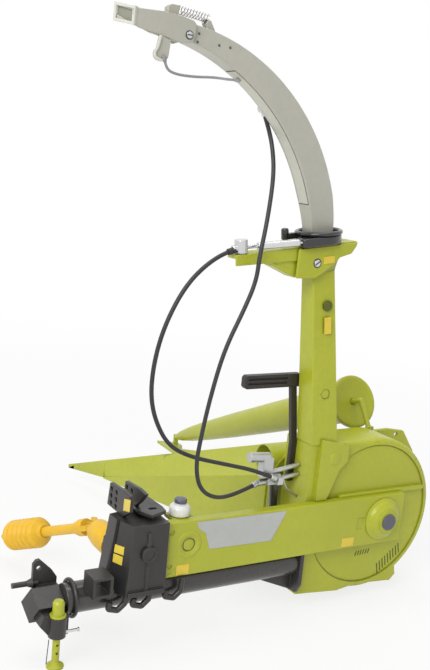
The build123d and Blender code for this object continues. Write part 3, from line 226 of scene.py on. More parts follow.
def makeFinish(name, look):
    material = bpy.data.materials.new(name)
    material.use_nodes = True
    tree = material.node_tree
    tree.nodes.clear()
    out = addNode(tree, "ShaderNodeOutputMaterial")
    paint = addNode(tree, "ShaderNodeBsdfPrincipled")
    feed(tree, paint.outputs["BSDF"], out, "Surface")
    coords = addNode(tree, "ShaderNodeTexCoord").outputs["Object"]
    # colour: slow patches, then fine darker specks
    colour = look["colour"]
    patches = ranged(tree, noise(tree, coords, surface["patchScale"], 4), 0.3, 0.7, 0, 1)
    specks = ranged(tree, noise(tree, coords, surface["speckScale"], 2), 0.35, 0.75, 0, 0.5)
    base = mixColour(tree, patches, shaded(colour, 1 - look["vary"]), shaded(colour, 1 + look["vary"]))
    base = mixColour(tree, specks, base, shaded(colour, surface["speckShade"]))
    # corners: rounder normals, and sharp edges lightened towards the edge colour, partly as paint that thins
    # out there and partly as painted highlight
    rounded = addNode(tree, "ShaderNodeBevel", samples=6)
    rounded.inputs["Radius"].default_value = mm(surface["cornerRadius"])
    if look.get("wornAndLitEdges"):
        geometry = addNode(tree, "ShaderNodeNewGeometry")
        angle = addNode(tree, "ShaderNodeVectorMath", operation="DOT_PRODUCT")
        tree.links.new(rounded.outputs["Normal"], angle.inputs[0])
        tree.links.new(geometry.outputs["Normal"], angle.inputs[1])
        bent = ranged(tree, angle.outputs["Value"], surface["bentFrom"], surface["bentTo"], 0, 1)
        chips = ranged(tree, noise(tree, coords, surface["wearScale"], 4), 0.35, 0.65, 0.2, 1)
        wornAndLit = calculate(tree, "MULTIPLY", calculate(tree, "MULTIPLY", bent, chips), look["wornAndLitEdges"])
        base = mixColour(tree, wornAndLit, base, look["edge"])
    # painted shade: the colour darkens where ambient occlusion finds other surfaces close by, in crevices,
    # corners and recesses
    if look.get("creviceShade"):
        shade = addNode(tree, "ShaderNodeAmbientOcclusion", samples=6)
        shade.inputs["Distance"].default_value = mm(surface["creviceShadeReach"])
        creviceShadeMask = ranged(tree, shade.outputs["AO"], 0.25, 0.85, look["creviceShade"], 0)
        base = mixColour(tree, creviceShadeMask, base, shaded(colour, surface["creviceShadeTone"]))
    feed(tree, base, paint, "Base Color")
    gloss = noise(tree, coords, surface["glossScale"], 3)
    feed(tree, ranged(tree, gloss, 0.3, 0.7, look["rough"] - 0.06, look["rough"] + 0.07), paint, "Roughness")
    paint.inputs["Metallic"].default_value = look.get("metal", 0.0)
    paint.inputs["Coat Weight"].default_value = look.get("coat", 0.0)
    paint.inputs["Coat Roughness"].default_value = surface["coatRough"]
    paint.inputs["Specular IOR Level"].default_value = surface["specular"]
    grain = addNode(tree, "ShaderNodeBump")
    grain.inputs["Strength"].default_value = look["grain"] * surface["grainGain"]
    grain.inputs["Distance"].default_value = mm(surface["grainDepth"])
    feed(tree, noise(tree, coords, 500 / look["grainSize"], 3), grain, "Height")
    feed(tree, rounded.outputs["Normal"], grain, "Normal")
    feed(tree, grain.outputs["Normal"], paint, "Normal")
    return material


finish = {name: makeFinish(name, look) for name, look in finishes.items()}
print("finishes made")


# shape helpers, all in millimetres of the working frame

def ring(bm, centre, across, up, radius, sides):
    return [bm.verts.new(centre + (across * math.cos(2 * math.pi * i / sides)
                                   + up * math.sin(2 * math.pi * i / sides)) * radius) for i in range(sides)]


def bridge(bm, first, second):
    count = len(first)
    for i in range(count):
        bm.faces.new((first[i], first[(i + 1) % count], second[(i + 1) % count], second[i]))


def crossAxes(along):
    helper = Vector((0, 0, 1)) if abs(along.z) < 0.9 else Vector((1, 0, 0))
    across = along.cross(helper).normalized()
    return across, across.cross(along).normalized()


# turned shape from radius and height pairs; a looped profile closes on itself
def turned(bm, base, along, profile, sides=32, looped=False):
    along = Vector(along).normalized()
    across, up = crossAxes(along)
    base = Vector(base)
    rings = [ring(bm, base + along * high, across, up, max(radius, 0.001), sides) for radius, high in profile]
    for first, second in zip(rings, rings[1:]):
        bridge(bm, first, second)
    if looped:
        bridge(bm, rings[-1], rings[0])
        return
    bm.faces.new(list(reversed(rings[0])))
    bm.faces.new(rings[-1])


def tube(bm, points, radius, sides=10):
    points = [Vector(p) for p in points]
    along = (points[1] - points[0]).normalized()
    across, up = crossAxes(along)
    rings = []
    for i, point in enumerate(points):
        ahead = points[min(i + 1, len(points) - 1)] - points[max(i - 1, 0)]
        ahead.normalize()
        turn = along.rotation_difference(ahead)
        across, up, along = turn @ across, turn @ up, ahead
        rings.append(ring(bm, point, across, up, radius, sides))
    for first, second in zip(rings, rings[1:]):
        bridge(bm, first, second)
    bm.faces.new(list(reversed(rings[0])))
    bm.faces.new(rings[-1])


def prism(bm, outline, yFrom, yTo):
    near = [bm.verts.new((x, yFrom, z)) for x, z in outline]
    far = [bm.verts.new((x, yTo, z)) for x, z in outline]
    bridge(bm, near, far)
    bm.faces.new(list(reversed(near)))
    bm.faces.new(far)


# flat patch from a corner and two sides, standing off by its thickness
def plate(bm, corner, sideA, sideB, thick):
    corner, sideA, sideB = Vector(corner), Vector(sideA), Vector(sideB)
    off = sideA.cross(sideB).normalized() * thick
    low = [bm.verts.new(p) for p in (corner, corner + sideA, corner + sideA + sideB, corner + sideB)]
    high = [bm.verts.new(v.co + off) for v in low]
    bridge(bm, low, high)
    bm.faces.new(list(reversed(low)))
    bm.faces.new(high)


def newPiece(name, bm, body, look, soften=0.0, crease=30, replaces=()):
    bmesh.ops.recalc_face_normals(bm, faces=bm.faces)
    for vert in bm.verts:
        vert.co = place(*vert.co)
    mesh = bpy.data.meshes.new(name)
    bm.to_mesh(mesh)
    bm.free()
    mesh.shade_smooth()
    mesh.set_sharp_from_angle(angle=math.radians(crease))
    piece = bpy.data.objects.new(name, mesh)
    bpy.context.scene.collection.objects.link(piece)
    piece.data.materials.append(finish[look])
    if soften:
        softenEdges(piece, soften, crease)
    if body:
        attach(piece, body)
    if replaces:
        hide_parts(*replaces)
    return piece


def softenEdges(piece, width, crease=30):
    edges = piece.modifiers.new("softEdges", "BEVEL")
    edges.width = mm(width)
    edges.segments = 2
    edges.limit_method = "ANGLE"
    edges.angle_limit = math.radians(crease)
    edges.use_clamp_overlap = False


# cords: each hose is one smooth line through its route
hoses = {
    "long_hose": {
        "radius": 0.36, "length": 0.0800, "body": "frame", "look": "hoseRubber",
        "route": (
            (14.9, 6.4, 88.3), (15.9, 6.35, 86.3), (16.3, 5.2, 83.2), (15.8, 3.3, 78.9), (13.9, 1.0, 72.0),
            (12.5, 0.1, 66.0), (12.2, -0.1, 62.0), (10.4, -0.2, 57.4), (7.3, -0.2, 50.6), (5.5, -0.2, 42.6),
            (4.6, -0.1, 36.4), (4.1, 0.0, 31.4), (5.4, 0.3, 27.0), (9.3, 1.3, 24.5), (14.6, 2.9, 24.2),
            (20.25, 5.0, 24.88),
        ),
    },
    "short_hose": {
        "radius": 0.36, "length": 0.0627, "body": "frame", "look": "hoseRubber",
        "route": (
            (8.636, 2.526, 66.433), (7.018, 2.415, 65.924), (3.8, 1.9, 64.15), (0.9, 1.8, 61.4),
            (-1.3, 2.0, 57.6), (-3.05, 2.3, 52.7), (-3.9, 2.5, 47.5), (-3.85, 2.6, 42.6), (-2.6, 2.5, 38.4),
            (0.1, 2.4, 34.2), (4.8, 2.6, 31.8), (11.8, 2.8, 29.9), (18.4, 3.0, 28.1), (23.0, 3.25, 26.0),
        ),
    },
}


def makeHose(name, look):
    curve = bpy.data.curves.new(name + "_line", "CURVE")
    curve.dimensions = "3D"
    curve.bevel_depth = mm(look["radius"])
    curve.bevel_resolution = 4
    curve.resolution_u = 10
    curve.use_fill_caps = True
    line = curve.splines.new("NURBS")
    line.points.add(len(look["route"]) - 1)
    for point, spot in zip(line.points, look["route"]):
        point.co = (*place(*spot), 1)
    line.order_u = 3
    line.use_endpoint_u = True
    line.use_smooth = True
    piece = bpy.data.objects.new(name + "_line", curve)
    bpy.context.scene.collection.objects.link(piece)
    curve.materials.append(finish[look["look"]])
    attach(piece, look["body"])
    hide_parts(name)


for name, look in hoses.items():
    makeHose(name, look)
print("hoses laid")

# rigid nodes: bevel width of the edges in mm, where 0 shows the solid's own mesh, and the finish
solids = {
    "housing_drum": (0.12, "limePaint"), "housing_cover": (0.0, "limePaint"),
    "front_plate": (0.12, "limePaint"), "belt_case": (0.12, "limePaint"), "hub_boss": (0.0, "limePaint"),
    "hub_cap": (0.0, "capGrey"), "chute": (0.15, "limePaint"), "top_bracket": (0.12, "limePaint"),
    "bracket_screw": (0.0, "limePaint"), "cylinder_post": (0.0, "brightMetal"),
    "swivel_ring": (0.0, "glossBlack"), "cylinder_barrel": (0.0, "brightMetal"),
    "cylinder_rod": (0.0, "brightMetal"), "spout": (0.12, "silverPaint"),
    "spout_nipple": (0.0, "brightMetal"), "flap_pivots": (0.0, "brightMetal"),
    "flap": (0.07, "silverPaint"), "flap_lever": (0.0, "silverPaint"), "beam": (0.1, "beamBlack"),
    "beam_flange": (0.12, "blackPlastic"), "hitch_box": (0.0, "blackPlastic"),
    "lower_hitch_right": (0.0, "blackPlastic"), "stand_leg": (0.0, "limePaint"),
    "stand_pin": (0.0, "brightMetal"), "headstock": (0.08, "blackPlastic"),
    "top_link_plates": (0.08, "blackPlastic"), "draw_plate": (0.08, "blackPlastic"),
    "stub_tube": (0.06, "blackPlastic"), "beam_hoop": (0.0, "blackPlastic"),
    "hose_hooks": (0.0, "blackPlastic"), "oil_bottle": (0.0, "whitePlastic"),
    "bottle_cap": (0.0, "blackPlastic"), "bottle_shelf": (0.08, "limePaint"),
    "drive_yoke": (0.0, "yellowPlastic"), "joint_cross": (0.0, "yellowPlastic"),
    "drive_shaft": (0.0, "yellowPlastic"), "shaft_bell": (0.0, "yellowPlastic"),
    "shaft_guard": (0.03, "yellowPlastic"), "valve": (0.0, "castMetal"),
    "valve_boot": (0.0, "glossBlack"), "side_arm": (0.08, "brownBlack"),
    "left_divider": (0.06, "sheetPaint"), "cone_divider": (0.0, "limePaint"),
    "cone_arm": (0.0, "limePaint"), "right_side": (0.06, "sheetPaint"),
    "header_pan": (0.06, "sheetPaint"), "skids": (0.08, "sheetPaint"),
    "feed_rolls": (0.0, "blackPlastic"), "intake_sides": (0.08, "sheetPaint"),
}

# middle of the leaning chute's foot, and its lean
chuteFoot = {"origin": (31.8, 3.95, 32.2), "lean": math.radians(7.7)}


def atChute(across, forward, high):
    x, y, z = chuteFoot["origin"]
    c, s = math.cos(chuteFoot["lean"]), math.sin(chuteFoot["lean"])
    return Vector((x + across * c - high * s, y + forward, z + across * s + high * c))


def chuteSpot(spot):
    middle = Vector(chuteFoot["origin"])
    c, s = math.cos(chuteFoot["lean"]), math.sin(chuteFoot["lean"])
    right, above = spot.x - middle.x, spot.z - middle.z
    return right * c + above * s, -right * s + above * c


def clamp(value):
    return max(0.0, min(1.0, value))


# bracket's collar: lower right corner, at these places along the chute, raised to a new height
collarCorner = {"rightOf": 2.4, "above": 31.0, "below": 31.8, "behind": 6.6, "raisedTo": 33.9}


def slantCollar(spot):
    look = collarCorner
    across, high = chuteSpot(spot)
    if across > look["rightOf"] and look["above"] < high < look["below"] and spot.y < look["behind"]:
        return atChute(across, spot.y - chuteFoot["origin"][1], look["raisedTo"])
    return spot


# spring's post on the spout's crown: leans as the spring pulls it
springPost = {"crown": (-4.93, 65.81), "radius": 34.09, "fromX": 0.9, "toX": 3.0, "above": 0.2,
              "shift": (-0.55, 0, -0.4)}


def settlePost(spot):
    look = springPost
    x, z = look["crown"]
    crownHigh = z + math.sqrt(max(0.0, look["radius"] ** 2 - (spot.x - x) ** 2))
    if look["fromX"] < spot.x < look["toX"] and spot.z - crownHigh > look["above"]:
        return spot + Vector(look["shift"])
    return spot


# drum's rear edge drawn in to a quarter round
drumRim = {"middle": (44.9, 17.3), "radius": 15.0, "rear": 1.9, "round": 0.95, "reach": 0.05}


def roundRim(spot):
    x, z = drumRim["middle"]
    size = drumRim["round"]
    across, up = spot.x - x, spot.z - z
    reach, deep = math.hypot(across, up), spot.y - drumRim["rear"]
    if abs(reach - drumRim["radius"]) > drumRim["reach"] or deep > size or deep < -0.01:
        return spot
    inward = size - math.sqrt(max(0.0, size ** 2 - (size - deep) ** 2))
    share = (reach - inward) / reach
    return Vector((x + across * share, spot.y, z + up * share))


# gear case: left side drawn in, and its front left corner drawn back
headstockSide = {"low": 10.4, "tall": 11.9, "right": -7.25, "wide": 3.15, "taper": 1.5, "inward": 0.8,
                 "frontFrom": 3.4, "frontLong": 4.6, "drawnBack": 2.2}


def slimHeadstock(spot):
    look = headstockSide
    share = (spot.z - look["low"]) / look["tall"]
    reach = clamp((look["right"] - spot.x) / (look["wide"] - look["taper"] * share))
    spot = spot + Vector((reach * look["inward"], 0, 0))
    if spot.y > look["frontFrom"]:
        spot.y -= reach * (spot.y - look["frontFrom"]) / look["frontLong"] * look["drawnBack"]
    return spot


# drive guard, narrower than its room in the solid outside its core
guardBell = {"middle": (-5.2, 14.9), "narrower": 0.15, "core": 2.0, "fade": 0.8}


def slimGuard(spot):
    x, z = guardBell["middle"]
    across, up = spot.x - x, spot.z - z
    outside = clamp((math.hypot(across, up) - guardBell["core"]) / guardBell["fade"])
    share = 1 - guardBell["narrower"] * outside
    return Vector((x + across * share, spot.y, z + up * share))


# flap: far wall's lower edge lifted, as its mouth leans
flapWall = {"farFrom": 4.5, "leftOf": -3.4, "below": 98.9, "lift": 1.1, "fade": 2.0}


def liftFarWall(spot):
    look = flapWall
    if spot.y > look["farFrom"] and spot.x < look["leftOf"] and spot.z < look["below"]:
        return spot + Vector((0, 0, look["lift"] * min(1.0, (look["leftOf"] - spot.x) / look["fade"])))
    return spot


# top link plates: rear corners as the draw plate leaves them, with new y and z on the left and right plate
linkCorners = (
    {"below": 22.36, "behind": 2.1, "left": (3.3, 22.4), "right": (6.0, 22.4)},
    {"below": 23.2, "behind": 1.4, "left": (1.1, 23.9), "right": (3.1, 24.8)},
)
betweenPlates = -5      # x


def trimLinkPlates(spot):
    for corner in linkCorners:
        if spot.z < corner["below"] and spot.y < corner["behind"]:
            return Vector((spot.x, *corner["left" if spot.x < betweenPlates else "right"]))
    return spot


# draw plate: corners of its left edge from and to, in x and y
drawCorners = (((-3.2, 0.28), (-4.5, 2.7)), ((-1.9, -0.1), (-3.1, 0.0)), ((-3.2, 7.2), (-3.7, 7.1)))
sameSpot = 0.03


def widenDrawPlate(spot):
    for (x, y), moved in drawCorners:
        if math.hypot(spot.x - x, spot.y - y) < sameSpot:
            return Vector((*moved, spot.z))
    return spot


# corners moved on the copies of single solids, and depths where a copy is cut first
reshape = {"top_bracket": slantCollar, "spout": settlePost, "housing_drum": roundRim,
           "headstock": slimHeadstock, "top_link_plates": trimLinkPlates, "draw_plate": widenDrawPlate,
           "flap": liftFarWall, "shaft_guard": slimGuard}
cutsAcross = {"housing_drum": (1.96, 2.08, 2.24, 2.44, 2.64, 2.85), "headstock": ()}
creases = {"headstock": 12, "others": 28}      # degrees
flatWithin = 0.8      # degrees, under which faces are one


def paintNode(node, look):
    for holder in frame["nodes"][node].material_slots:
        holder.link = "OBJECT"
        holder.material = finish[look]


def dressNode(node, width, look):
    source = frame["nodes"][node]
    paintNode(node, look)
    if not width:
        return
    bm = bmesh.new()
    bm.from_mesh(source.data)
    bmesh.ops.remove_doubles(bm, verts=bm.verts, dist=1e-7)
    for y in cutsAcross.get(node, ()):
        bmesh.ops.bisect_plane(bm, geom=bm.verts[:] + bm.edges[:] + bm.faces[:], plane_co=place(0, y, 0),
                               plane_no=(0, 1, 0))
    if node in reshape:
        for vert in bm.verts:
            spot = vert.co * 1000 + Vector((originX, originY, 0))
            vert.co = place(*reshape[node](spot))
    bmesh.ops.dissolve_limit(bm, angle_limit=math.radians(flatWithin), verts=bm.verts, edges=bm.edges)
    mesh = bpy.data.meshes.new(node + "_soft")
    bm.to_mesh(mesh)
    bm.free()
    mesh.shade_smooth()
    mesh.set_sharp_from_angle(angle=math.radians(creases.get(node, creases["others"])))
    piece = bpy.data.objects.new(node + "_soft", mesh)
    bpy.context.scene.collection.objects.link(piece)
    mesh.materials.append(finish[look])
    if node not in cutsAcross:
        softenEdges(piece, width)
    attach(piece, source["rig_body"])
    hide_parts(node)


for node, (width, look) in solids.items():
    dressNode(node, width, look)
print("solids dressed")

# spout: inset panel in its hollow side, with a dark strip round it as painted shadow along the panel's edge
spoutPanel = {"centre": (-9.69, 63.53), "radius": 34.46, "fromAngle": 19.0, "toAngle": 62.5, "middleY": 3.95,
              "halfWidth": 1.25, "proud": 0.10, "seam": 0.10, "seamProud": 0.04, "seamAngle": 0.25,
              "sunk": 0.1}


def arcStrip(bm, look, proud, half, fromAngle, toAngle, steps=48):
    cx, cz = look["centre"]
    inner, outer = look["radius"] - proud, look["radius"] + look["sunk"]
    rings = []
    for i in range(steps + 1):
        angle = math.radians(fromAngle + (toAngle - fromAngle) * i / steps)
        rings.append([bm.verts.new((cx + radius * math.cos(angle), look["middleY"] + y,
                                    cz + radius * math.sin(angle)))
                      for radius, y in ((inner, -half), (inner, half), (outer, half), (outer, -half))])
    for first, second in zip(rings, rings[1:]):
        bridge(bm, first, second)
    bm.faces.new(list(reversed(rings[0])))
    bm.faces.new(rings[-1])


def makeSpoutPanel(look):
    low, high = look["fromAngle"], look["toAngle"]
    bm = bmesh.new()
    arcStrip(bm, look, look["seamProud"], look["halfWidth"] + look["seam"], low - look["seamAngle"],
             high + look["seamAngle"])
    newPiece("spout_panel_shadow_line", bm, "spout_turn", "seamDark")
    bm = bmesh.new()
    arcStrip(bm, look, look["proud"], look["halfWidth"], low, high)
    newPiece("spout_panel", bm, "spout_turn", "panelPaintWithBounce", soften=0.04)


makeSpoutPanel(spoutPanel)

# rivets on the spout's near side: x, z and radius of each
rivets = {"spots": ((-1.0, 98.52, 0.19), (-1.16, 97.3, 0.19), (2.61, 97.35, 0.2), (4.59, 97.3, 0.2)),
          "faceY": 2.15, "sunk": 0.05}


def makeRivets(look):
    bm = bmesh.new()
    for x, z, radius in look["spots"]:
        turned(bm, (x, look["faceY"] + look["sunk"], z), (0, -1, 0),
               ((radius, 0), (radius, 0.08), (radius * 0.8, 0.15), (radius * 0.4, 0.19)), 16)
    newPiece("spout_rivets", bm, "spout_turn", "seamDark")


makeRivets(rivets)

# flap spring: fine wire coil with a hook at each end
flapSpring = {"from": (1.45, 3.95, 101.15), "to": (-3.55, 3.95, 101.6), "turns": 10, "stepsPerTurn": 22,
              "radius": 0.60, "wire": 0.085, "lowEye": (0.62, 3.95, 100.6), "highEye": (-4.0, 3.95, 101.55),
              "eyeRadius": 0.26, "eyeOpen": 0.1, "lead": (0.25, 0, -0.1)}


def makeSpring(look):
    start, end = Vector(look["from"]), Vector(look["to"])
    low, high = Vector(look["lowEye"]), Vector(look["highEye"])
    across, up = crossAxes((end - start).normalized())
    steps = look["turns"] * look["stepsPerTurn"]
    points = [low, low.lerp(start, 0.6) + Vector(look["lead"])]
    for i in range(steps + 1):
        angle = 2 * math.pi * look["turns"] * i / steps
        outward = across * math.cos(angle) + up * math.sin(angle)
        points.append(start.lerp(end, i / steps) + outward * look["radius"])
    points += [end.lerp(high, 0.6) + across * look["radius"] * 0.4, high]
    bm = bmesh.new()
    tube(bm, points, look["wire"], 8)
    size, gap = look["eyeRadius"], look["eyeOpen"]
    angles = [2 * math.pi * i / 20 for i in range(20)]
    for eye in (low, high):
        loop = [eye + Vector((size * math.cos(a), gap * math.sin(a / 2), size * math.sin(a))) for a in angles]
        tube(bm, loop, look["wire"], 8)
    piece = newPiece("flap_spring_wire", bm, None, "springWire", crease=60, replaces=("flap_spring",))
    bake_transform(piece)


makeSpring(flapSpring)

# flap cable: short braid along a bent route, in crimped sleeves
flapCable = {"radius": 0.2, "steps": 8, "sleeve": ((0.27, 0), (0.3, 0.06), (0.3, 0.75), (0.24, 0.85)),
             "route": ((-7.06, 1.05, 94.42), (-6.76, 1.05, 92.82), (-5.16, 1.05, 92.12), (-1.36, 1.65, 92.22),
                       (2.44, 2.95, 92.72), (5.64, 3.85, 92.82), (7.94, 3.95, 92.94))}


def makeCable(look):
    route = [Vector(p) for p in look["route"]]
    points = [route[0]]
    for i in range(1, len(route) - 1):
        first = route[0] if i == 1 else route[i - 1].lerp(route[i], 0.5)
        last = route[-1] if i == len(route) - 2 else route[i].lerp(route[i + 1], 0.5)
        for step in range(1, look["steps"] + 1):
            share = step / look["steps"]
            points.append(first.lerp(route[i], share).lerp(route[i].lerp(last, share), share))
    bm = bmesh.new()
    tube(bm, points, look["radius"], 12)
    for end, inward in ((points[0], points[1]), (points[-1], points[-2])):
        turned(bm, end, inward - end, look["sleeve"], 16)
    piece = newPiece("flap_cable_line", bm, None, "greyBraid", crease=50, replaces=("flap_cable",))
    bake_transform(piece)


makeCable(flapCable)

# flap: outer cheek, mouth frame with its recessed panel, and the bent plate for the cable
flapLook = {
    "cheek": ((-12.3, 100.3), (-11.5, 100.45), (-7.4, 100.66), (-4.1, 100.46), (-2.3, 100.12), (-1.85, 99.7),
              (-1.78, 98.9), (-2.1, 97.25), (-2.4, 96.95), (-3.98, 96.72), (-6.08, 97.0), (-8.12, 97.38),
              (-9.86, 97.6), (-11.09, 97.75), (-12.05, 98.1)),
    "cheekY": (1.6, 1.75),
    "mouthNear": (-11.98, 1.52, 98.0, 100.66),     # x, y, lower and upper edge of the frame at the near wall
    "mouthFar": (-12.98, 6.38, 98.84, 101.5),
    "frameWidth": 0.45, "frameDeep": 0.16, "frameFoot": 0.1, "frameInside": 0.5,
    "panelDeep": 0.22, "panelThick": 0.5, "panelLap": 0.2,
    "lever": ((-7.93, 97.27), (-6.0, 96.8), (-6.12, 95.46), (-6.25, 94.3), (-6.6, 93.85), (-7.4, 93.62),
              (-8.2, 93.75), (-8.6, 94.1), (-8.72, 94.6), (-8.6, 95.05), (-8.3, 95.4)),
    "flange": ((-7.93, 97.27), (-7.55, 97.18), (-7.95, 95.45), (-8.25, 95.0), (-8.34, 94.6), (-8.2, 94.25),
               (-7.4, 94.0), (-6.9, 94.1), (-6.6, 93.85), (-7.4, 93.62), (-8.2, 93.75), (-8.6, 94.1),
               (-8.72, 94.6), (-8.6, 95.05), (-8.3, 95.4)),
    "leverY": (1.3, 1.6), "flangeY": (1.08, 1.35),
}


def makeFlapSide(name, outline, depths, look, soften, replaces=()):
    bm = bmesh.new()
    prism(bm, outline, *depths)
    newPiece(name, bm, "flap", look, soften=soften, replaces=replaces)


def makeFlapMouth(look):
    nearX, nearY, nearLow, nearHigh = look["mouthNear"]
    farX, farY, farLow, farHigh = look["mouthFar"]
    outer = [Vector(p) for p in ((nearX, nearY, nearLow), (farX, farY, farLow), (farX, farY, farHigh),
                                 (nearX, nearY, nearHigh))]
    across = (outer[1] - outer[0]).normalized() * look["frameWidth"]
    up = Vector((0, 0, look["frameWidth"]))
    inner = [outer[0] + across + up, outer[1] - across + up, outer[2] - across - up, outer[3] + across - up]
    bm = bmesh.new()
    loops = [[bm.verts.new(p + Vector((inward, 0, 0))) for p in corners] for corners, inward in
             ((outer, look["frameFoot"]), (outer, -look["frameDeep"]), (inner, -look["frameDeep"]),
              (inner, look["frameInside"]))]
    for first, second in zip(loops, loops[1:] + loops[:1]):
        bridge(bm, first, second)
    newPiece("flap_mouth_frame", bm, "flap", "rimLight", soften=0.05)
    lap = look["panelLap"]
    bm = bmesh.new()
    plate(bm, inner[0] - (across + up) * lap + Vector((look["panelDeep"], 0, 0)),
          inner[1] - inner[0] + across * 2 * lap, inner[3] - inner[0] + up * 2 * lap, look["panelThick"])
    newPiece("flap_mouth_panel", bm, "flap", "mouthGrey", soften=0.03)


makeFlapSide("flap_cheek", flapLook["cheek"], flapLook["cheekY"], "silverPaint", 0.07)
makeFlapMouth(flapLook)
makeFlapSide("flap_lever_plate", flapLook["lever"], flapLook["leverY"], "silverPaint", 0.06, ("flap_lever",))
makeFlapSide("flap_lever_edge", flapLook["flange"], flapLook["flangeY"], "rimLight", 0.04)

# slotted screws: middle, direction of the head, radius, height, turn of the slot, body, replaced solids
screws = {
    "flap_screw_near": ((-2.9, 1.6, 98.0), (0, -1, 0), 0.5, 0.22, 0, "spout_turn", ("flap_pivots",)),
    "flap_screw_far": ((-2.96, 6.2, 98.12), (0, 1, 0), 0.5, 0.22, 20, "spout_turn", ()),
    "bracket_screw_head": ((25.1, 1.2, 65.05), (0, -1, 0), 0.62, 0.12, 35, "frame", ("bracket_screw",)),
}
screwLook = {"sunk": 0.3, "washer": (1.05, 1.32), "washerThick": 0.05, "slot": (0.92, 0.17),
             "slotThick": 0.02}


def makeScrew(name, middle, along, radius, high, turn, body, replaces):
    middle, along = Vector(middle), Vector(along)
    sunk = screwLook["sunk"]
    bm = bmesh.new()
    turned(bm, middle - along * sunk, along, ((radius, 0), (radius, sunk + high * 0.7),
                                              (radius * 0.9, sunk + high), (0.01, sunk + high * 1.05)), 28)
    newPiece(name, bm, body, "brightMetal", replaces=replaces)
    inner, outer = (radius * share for share in screwLook["washer"])
    thick = screwLook["washerThick"]
    bm = bmesh.new()
    turned(bm, middle - along * 0.02, along, ((inner, 0), (outer, 0), (outer, thick), (inner, thick)), 28,
           looped=True)
    # dark plate on the head: painted shade of the slot
    angle = math.radians(turn)
    lengthways = Vector((math.cos(angle), 0, math.sin(angle))) * radius * screwLook["slot"][0]
    sideways = Vector((-math.sin(angle), 0, math.cos(angle))) * radius * screwLook["slot"][1]
    corner = middle + along * (high + 0.01) - lengthways - sideways
    plate(bm, corner, lengthways * 2, sideways * 2, screwLook["slotThick"])
    newPiece(name + "_slot", bm, body, "seamDark")


for name, look in screws.items():
    makeScrew(name, *look)

# swivel ring: turned flange on a rounded base with the cylinder's lug, a knob and a stop bar;
# lug and knob as across, forward and radius, the bar by two corners across, forward and above the base
swivelLook = {"low": 36.4, "baseRadius": 3.95, "baseHigh": 1.5, "lug": (-4.9, -2.9, 0.8), "sides": 40,
              "flange": ((3.6, 1.3), (3.65, 1.55), (4.02, 1.62), (4.15, 1.75), (4.15, 2.05), (4.05, 2.2),
                         (3.88, 2.3), (3.66, 2.3), (3.5, 2.2), (3.45, 2.05), (3.45, 1.42)),
              "knob": (-5.9, 1.6, 0.65), "knobFoot": 0.9,
              "knobProfile": ((0.8, 0), (1, 0.15), (1, 1.7), (0.85, 1.95), (0.01, 2.05)),
              "bar": ((-5.6, 1.05, 0.95), (-2.6, 2.15, 2.0))}


def makeSwivelRing(look):
    up = atChute(0, 0, 1) - atChute(0, 0, 0)
    low = look["low"]
    bm = bmesh.new()
    for across, forward, radius in ((0, 0, look["baseRadius"]), look["lug"]):
        for i in range(look["sides"]):
            angle = 2 * math.pi * i / look["sides"]
            x, y = across + radius * math.cos(angle), forward + radius * math.sin(angle)
            for high in (low, low + look["baseHigh"]):
                bm.verts.new(atChute(x, y, high))
    hull = bmesh.ops.convex_hull(bm, input=bm.verts[:])
    inside = [part for part in hull["geom_interior"] if isinstance(part, bmesh.types.BMVert)]
    bmesh.ops.delete(bm, geom=inside, context="VERTS")
    bmesh.ops.dissolve_limit(bm, angle_limit=math.radians(1), verts=bm.verts, edges=bm.edges)
    newPiece("swivel_base", bm, "spout_turn", "glossBlack", soften=0.2, replaces=("swivel_ring",))
    bm = bmesh.new()
    turned(bm, atChute(0, 0, low), up, look["flange"], 64)
    newPiece("swivel_flange", bm, "spout_turn", "glossBlack", crease=50)
    across, forward, radius = look["knob"]
    bm = bmesh.new()
    turned(bm, atChute(across, forward, low + look["knobFoot"]), up,
           [(radius * share, high) for share, high in look["knobProfile"]], 28)
    first, last = look["bar"]
    plate(bm, atChute(first[0], first[1], low + first[2]), atChute(last[0], 0, 0) - atChute(first[0], 0, 0),
          (0, last[1] - first[1], 0), last[2] - first[2])
    newPiece("swivel_knob", bm, "spout_turn", "glossBlack", soften=0.12, crease=50)


makeSwivelRing(swivelLook)

# rear faces of bent sheet: the bracket's over its collar, and the chute's foot panel
rearFaces = {
    "bracket_face": {"outline": ((21.1, 67.3), (21.1, 62.35), (24.9, 62.4), (26.0, 62.95), (28.8, 64.95),
                                 (29.9, 66.15), (32.3, 66.9), (33.2, 68.2), (33.45, 68.95)),
                     "depths": (1.22, 1.7), "edge": 0.18},
    "foot_panel_face": {"outline": ((30.85, 21.67), (33.35, 21.67), (35.6, 27.15), (37.35, 28.8),
                                    (37.35, 31.8), (30.85, 33.4)),
                        "depths": (1.13, 1.3), "edge": 0.06},
}


def makeRearFace(name, look):
    bm = bmesh.new()
    prism(bm, look["outline"], *look["depths"])
    newPiece(name, bm, "frame", "limePaint", soften=look["edge"])


for name, look in rearFaces.items():
    makeRearFace(name, look)

